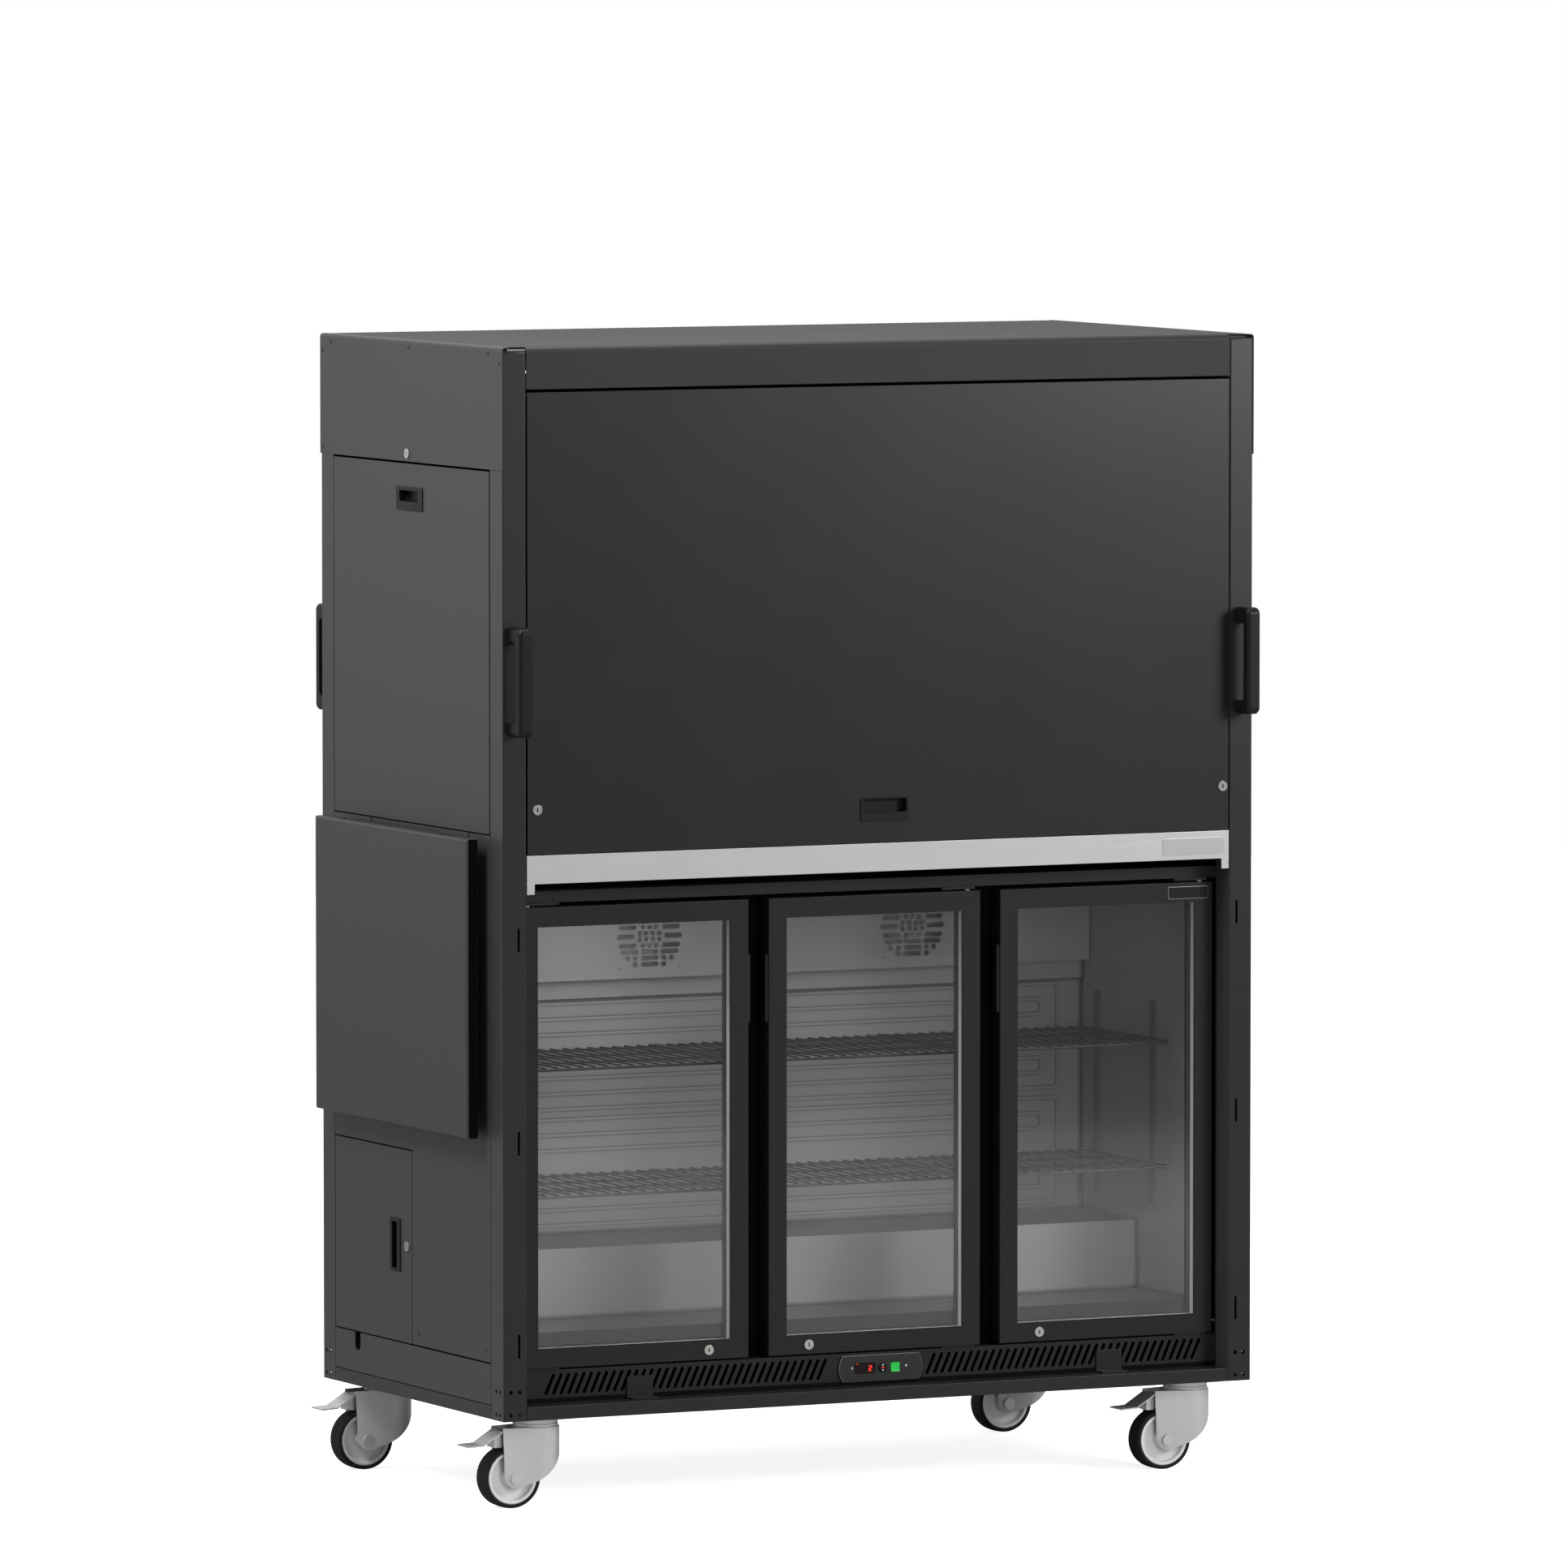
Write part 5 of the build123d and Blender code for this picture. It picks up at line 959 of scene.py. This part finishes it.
@dataclass
class Cooler:
    """The bottle cooler without its doors: cabinet, liner, shelves, fan cover and grille."""

    finishes: Finishes
    flat_share: float = 0.9
    fans: tuple = (487.0, 1000.0)
    cover_face: float = 446.0
    fan_height: float = 781.0
    fan_screw: tuple = (57.0, -54.6)
    screw: Screw = field(default_factory=lambda: Screw(3.2, 1.4, 0.8))
    shadow_gap: tuple = (46.3, 1393.7, 45.75, 46.3, 24.7, 31.5)
    pins: tuple = (70.8, 911.3, 1365.6)
    pin_reach: float = 13.0
    middle: float = 480.0
    badge: tuple = (1298.5, 1376.8, 845.6, 866.7)
    badge_edge: float = 0.6
    rim_depth: tuple = (42.5, 43.0)
    plate_depth: tuple = (42.2, 42.6)

    def build(self) -> None:
        """Makes the cooler without its doors."""
        f = self.finishes
        # The cabinet is black. It gets the near-black of painted shade, darker than the cooler's black paint,
        # for the deep shade in the gaps between the doors where it shows.
        dress(f.shade_black, ["cooler_cabinet"])
        dress(f.enamel, ["compressor"])
        # Painted shade: the liner's upward faces get the darker copy of its sheet.
        softened(
            "cooler_liner", "sheet", f.liner, "cabinet",
            second=f.liner_up_shade_copy, where=lambda face: face.normal.z > self.flat_share,
        )
        softened("evaporator_cover", "sheet", f.liner, "cabinet", width=0.3)
        self.cover_screws()
        softened("grille_panel", "coated", f.grille, "cabinet", width=0.35, segments=1)
        # Painted shadow: a thin near-black strip across the foot of the grille, for the shadowed gap above
        # the rail.
        strip("grille_painted_shadow_strip", self.shadow_gap, f.shade_black, "cabinet")
        softened("cooler_top_rail", "coated", f.cooler, "cabinet")
        softened(
            "door_hinge_plates", "plated", f.zinc, "cabinet", width=0.4,
            second=f.cooler, where=self.is_black,
        )
        softened("retaining_clips", "coated", f.cooler, "cabinet")
        softened("shelf_supports", "plated", f.pilaster, "cabinet", width=0.3, segments=1)
        Shelves(f).build()
        self.door_plate()

    def cover_screws(self) -> None:
        """Makes the two screws under each fan."""
        heads = Piece("evaporator_cover_screws")
        across, rise = self.fan_screw
        for x in self.fans:
            for side in (-across, across):
                foot = Body.at(x + side, self.cover_face, self.fan_height + rise)
                self.screw.add(heads, foot, -Axis.Y.value)
        heads.done(self.finishes.nickel, "cabinet")

    def is_black(self, face: Face) -> bool:
        """Says whether a face of the hinge plates is black.

        Args:
            face: The face.

        Returns:
            True for the lower plates, and for the upper ones away from their pins.
        """
        place = Body.from_frame(face.center)
        return place.z < self.middle or all(abs(place.x - pin) > self.pin_reach for pin in self.pins)

    def door_plate(self) -> None:
        """Makes the bare black plate with its thin rim on the third door."""
        f = self.finishes
        left, right, low, high = self.badge
        edge = self.badge_edge
        strip(
            "door_plate_rim", (left, right, *self.rim_depth, low, high), f.badge, "cooler_door_3",
            width=0.2, segments=2,
        )
        strip(
            "door_plate", (left + edge, right - edge, *self.plate_depth, low + edge, high - edge),
            f.plastic, "cooler_door_3", width=0.1,
        )


@dataclass
class Controls:
    """The thermostat's display, button and rocker in their bezel."""

    finishes: Finishes
    slant: tuple = (0.2, 0.96)
    face: float = 43.0
    digit: tuple = (715.8, 48.2, 5.2, 9.0)
    segment: float = 1.0
    digit_depth: float = 0.25
    dot: tuple = (693.2, 60.4)
    dot_size: tuple = (0.8, 0.3)
    dot_steps: int = 12
    on_mark: tuple = (765.4, 41.0, 57.0, 766.6, 41.9, 60.4)
    off_mark: tuple = (766.0, 41.2, 47.4)
    off_profile: tuple = ((0, 1.3), (0, 1.9), (0.7, 1.9), (0.7, 1.3))
    off_steps: int = 24
    screws: tuple = ((682.9, 42, 53.7), (787.0, 42, 53.7))
    screw: Screw = field(default_factory=lambda: Screw(2.0, 0.8, 0.6))
    button: tuple = (741.4, 39.3, 53.0)
    arrow: tuple = (1.6, 3.6, 6.4)
    arrow_depth: float = 0.3
    lamp: tuple = (739.6, 743.2, 39.3, 39.6, 52.4, 53.6)

    def build(self) -> None:
        """Makes the control panel."""
        f = self.finishes
        least, most = self.slant
        # Painted highlight: the bezel's slanted faces get the lighter grey.
        softened(
            "control_bezel", "moulded", f.bezel, "cabinet", width=1.1,
            second=f.bezel_highlight, where=lambda face: least < abs(face.normal.y) < most,
        )
        dress(f.screen, ["control_display"])
        softened("control_button", "moulded", f.plastic, "button", width=0.6, segments=3)
        softened("rocker_switch", "lit", f.rocker, "rocker")
        self.figure()
        self.marks()
        self.trim()
        self.arrows()
        strip("button_lamp", self.lamp, f.digit, "button")

    def figure(self) -> None:
        """Makes the lit figure two from its five segments."""
        x, z, width, height = self.digit
        s = self.segment
        lit = Piece("display_figure")
        bars = (
            (x, x + width, z + height - s, z + height),
            (x + width - s, x + width, z + height / 2, z + height),
            (x, x + width, z + height / 2 - s / 2, z + height / 2 + s / 2),
            (x, x + s, z, z + height / 2),
            (x, x + width, z, z + s),
        )
        for left, right, low, high in bars:
            lit.block(Body.at(left, self.face - self.digit_depth, low), Body.at(right, self.face, high))
        lit.done(self.finishes.digit, "cabinet", recalculate=False)

    def marks(self) -> None:
        """Makes the printed on and off marks of the rocker."""
        marks = Piece("rocker_marks")
        marks.block(Body.at(*self.on_mark[:3]), Body.at(*self.on_mark[3:]))
        marks.ring(Body.at(*self.off_mark), Axis.Y, self.off_profile, self.off_steps)
        marks.done(self.finishes.mark, "rocker")

    def trim(self) -> None:
        """Makes the bezel's two screws and the display's lit dot."""
        screws = Piece("bezel_screws")
        for place in self.screws:
            self.screw.add(screws, Body.at(*place), -Axis.Y.value)
        screws.done(self.finishes.nickel, "cabinet")
        x, z = self.dot
        radius, depth = self.dot_size
        dot = Piece("display_dot")
        dot.rod(Body.at(x, self.face, z), Body.at(x, self.face - depth, z), radius, self.dot_steps)
        dot.done(self.finishes.digit, "cabinet")

    def arrows(self) -> None:
        """Makes the up and down arrows on the button."""
        x, y, middle = self.button
        half, near, far = self.arrow
        arrows = Piece("button_arrows")
        for rise in (-1, 1):
            foot, tip = middle + rise * near, middle + rise * far
            points = [Body.at(x + across, y, z) for across, z in ((-half, foot), (half, foot), (0, tip))]
            face = arrows.mesh.faces.new([arrows.mesh.verts.new(p) for p in points])
            deep = bmesh.ops.extrude_face_region(arrows.mesh, geom=[face])["geom"]
            moved = [v for v in deep if isinstance(v, bmesh.types.BMVert)]
            bmesh.ops.translate(arrows.mesh, verts=moved, vec=Axis.Y.value * self.arrow_depth * MM)
        arrows.done(self.finishes.mark, "button")


@dataclass
class Caster:
    """One braked swivel caster. Profiles are pairs of distance along the axle and radius."""

    finishes: Finishes
    place: str
    half_width: float = 20.0
    tread_radius: float = 53.0
    tyre_seat: float = 7.0
    bead: tuple = (1.0, 1.5)
    shoulder: float = 4.5
    shoulder_drop: float = 5.0
    shoulder_steps: int = 5
    groove: tuple = ((-6.0, 0), (-5.4, 0.7), (-4.6, 0.7), (-4.0, 0))
    tyre_steps: int = 96
    rim: tuple = (
        (22.5, 5.1), (22.5, 13.5), (21.0, 15.0), (6.5, 16.5), (4.5, 34.0), (9.0, 38.5), (17.2, 40.0),
        (18.4, 41.5), (18.4, 44.5), (17.0, 45.8),
    )
    rim_steps: int = 84

    def build(self) -> None:
        """Makes the fork, pedal, tyre and rim."""
        f = self.finishes
        softened(f"caster_fork_{self.place}", "plated", f.zinc, f"fork_{self.place}", width=0.6)
        softened(f"brake_pedal_{self.place}", "plated", f.zinc, f"pedal_{self.place}", width=0.6)
        low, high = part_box(f"caster_tyre_{self.place}")
        for part, half, steps, finish, slot in (
            ("tyre", self.tyre(), self.tyre_steps, f.rubber, "tyre_rubber"),
            ("rim", list(self.rim), self.rim_steps, f.nylon, "rim_plastic"),
        ):
            node = f"caster_{part}_{self.place}"
            mirrored = [(-along, radius) for along, radius in reversed(half)]
            piece = Piece(f"{node}_moulded")
            piece.ring((low + high) / 2, Axis.Y, half + mirrored, steps)
            piece.done(finish, f"wheel_body_{self.place}", [node])

    def tyre(self) -> list[tuple[float, float]]:
        """Draws one half of the tyre: crowned tread, rounded shoulder and moulded ring.

        Returns:
            The half's profile.
        """
        side, tread = -self.half_width, self.tread_radius
        seat, brow = tread - self.tyre_seat, tread - self.shoulder_drop
        inward, outward = self.bead
        profile = [(side + inward, seat), (side, seat + outward), (side, brow)]
        for step in range(1, self.shoulder_steps + 1):
            turn = math.radians(90 / self.shoulder_steps * step)
            along = side + self.shoulder * (1 - math.cos(turn))
            profile.append((along, brow + self.shoulder * math.sin(turn)))
        return profile + [(along, tread - depth) for along, depth in self.groove]


@dataclass(frozen=True)
class Lamp:
    """A square soft lamp. Its places are millimetres of the body, its side metres."""

    name: str
    place: tuple
    aim: tuple
    side: float
    watts: float
    hidden: bool = False

    def build(self) -> None:
        """Adds the lamp. A hidden one is left out of mirrors."""
        data = bpy.data.lights.new(self.name, "AREA")
        data.shape = "SQUARE"
        data.size = self.side
        data.energy = self.watts
        lamp = bpy.data.objects.new(self.name, data)
        lamp.location = Body.at(*self.place)
        lamp.rotation_euler = (Body.at(*self.aim) - lamp.location).to_track_quat("-Z", "Y").to_euler()
        lamp.visible_camera = False
        lamp.visible_transmission = False
        lamp.visible_glossy = not self.hidden
        bpy.context.scene.collection.objects.link(lamp)


@dataclass
class Studio:
    """Floor, light and camera."""

    position: tuple = (-9533.0, -20553.0, 2690.0)
    yaw: float = 26.09
    pitch: float = 4.04
    lens: float = 307.2
    sensor: float = 36.0
    sight: float = 100.0
    room: tuple = (0.1, 0.8)
    floor_half: float = 12.0
    floor_seen: str = "#f2f2f2"
    floor_glow: float = 0.8
    floor_mirrored: str = "#a8a8a8"
    lamps: tuple = (
        Lamp("key", (4500, -4600, 3000), (1100, 0, 1400), 1.8, 220),
        Lamp("side", (-2300, -300, 3400), (0, 375, 1600), 1.5, 100),
        Lamp("overhead", (700, 300, 4600), (700, 375, 1800), 2.6, 110),
        Lamp("front", (300, -6500, 1200), (700, 0, 300), 2.4, 200, hidden=True),
        Lamp("cooler_330", (330, 200, 845), (330, 482, 560), 0.25, 1.5, hidden=True),
        Lamp("cooler_730", (730, 200, 845), (730, 482, 560), 0.25, 0.5, hidden=True),
        Lamp("cooler_1180", (1180, 200, 845), (1180, 482, 560), 0.25, 0.05, hidden=True),
    )

    def build(self) -> None:
        """Sets the whole studio up."""
        bpy.context.scene.view_settings.view_transform = "Standard"
        self.world()
        self.floor()
        for lamp in self.lamps:
            lamp.build()
        self.camera()

    def camera(self) -> None:
        """Makes the camera at the photograph's place."""
        data = bpy.data.cameras.new("camera")
        data.lens = self.lens
        data.sensor_width = self.sensor
        data.clip_end = self.sight
        camera = bpy.data.objects.new("camera", data)
        camera.location = Body.at(*self.position)
        camera.rotation_euler = (math.radians(90 - self.pitch), 0, math.radians(-self.yaw))
        bpy.context.scene.collection.objects.link(camera)
        bpy.context.scene.camera = camera

    def world(self) -> None:
        """Makes a white backdrop, with a dimmer room in front for what the panels mirror."""
        world = bpy.data.worlds.new("studio")
        bpy.context.scene.world = world
        world.use_nodes = True
        tree = world.node_tree
        tree.nodes.clear()
        path = add_node(tree, "ShaderNodeLightPath")
        seen = add_node(tree, "ShaderNodeMath", {"operation": "MAXIMUM"})
        tree.links.new(path.outputs["Is Camera Ray"], seen.inputs[0])
        tree.links.new(path.outputs["Is Transmission Ray"], seen.inputs[1])
        place = add_node(tree, "ShaderNodeTexCoord")
        split = add_node(tree, "ShaderNodeSeparateXYZ", Vector=place.outputs["Generated"])
        dim, bright = self.room
        room = add_node(
            tree, "ShaderNodeMapRange", Value=split.outputs["Y"], From_Min=-1.0, From_Max=1.0,
            To_Min=dim, To_Max=bright,
        )
        strength = add_node(tree, "ShaderNodeMix")
        tree.links.new(seen.outputs["Value"], strength.inputs["Factor"])
        tree.links.new(room.outputs["Result"], strength.inputs[VALUE_A])
        strength.inputs[VALUE_B].default_value = 1.0
        shade = add_node(
            tree, "ShaderNodeBackground", Color=(1, 1, 1, 1), Strength=strength.outputs[VALUE_OUT],
        )
        add_node(tree, "ShaderNodeOutputWorld", Surface=shade.outputs["Background"])

    def floor(self) -> None:
        """Makes the pale floor, which keeps the station's shadow and looks dimmer in mirrors."""
        mesh = bmesh.new()
        bmesh.ops.create_grid(mesh, x_segments=1, y_segments=1, size=self.floor_half)
        data = bpy.data.meshes.new("floor")
        mesh.to_mesh(data)
        mesh.free()
        data.materials.append(self.floor_paint())
        plane = bpy.data.objects.new("floor", data)
        bpy.context.scene.collection.objects.link(plane)

    def floor_paint(self) -> Material:
        """Makes the floor's material: matt white paint that glows a little to the camera.

        Returns:
            The new material.
        """
        material = bpy.data.materials.new("white_studio_floor")
        material.use_nodes = True
        tree = material.node_tree
        tree.nodes.clear()
        paint = add_node(tree, "ShaderNodeBsdfDiffuse", Color=linear(self.floor_seen))
        dim = add_node(tree, "ShaderNodeBsdfDiffuse", Color=linear(self.floor_mirrored))
        glow = add_node(tree, "ShaderNodeEmission", Color=(1, 1, 1, 1), Strength=self.floor_glow)
        both = add_node(tree, "ShaderNodeAddShader")
        tree.links.new(paint.outputs["BSDF"], both.inputs[0])
        tree.links.new(glow.outputs["Emission"], both.inputs[1])
        path = add_node(tree, "ShaderNodeLightPath")
        shown = add_node(tree, "ShaderNodeMixShader", Fac=path.outputs["Is Camera Ray"])
        tree.links.new(dim.outputs["BSDF"], shown.inputs[1])
        tree.links.new(both.outputs["Shader"], shown.inputs[2])
        add_node(tree, "ShaderNodeOutputMaterial", Surface=shown.outputs["Shader"])
        return material


def main() -> None:
    """Builds the station and its studio."""
    logging.basicConfig(level=logging.INFO, format="%(name)s %(message)s")
    finishes = Finishes()
    Shell(finishes).build()
    Doors(finishes).build()
    Worktop(finishes).build()
    Cooler(finishes).build()
    Controls(finishes).build()
    for number in (1, 2, 3):
        CoolerDoor(finishes, number).build()
    softened("caster_plates", "plated", finishes.zinc, "cabinet")
    for place in ("front_left", "front_right", "back_left", "back_right"):
        Caster(finishes, place).build()
    Studio().build()


if __name__ == "__main__":
    main()
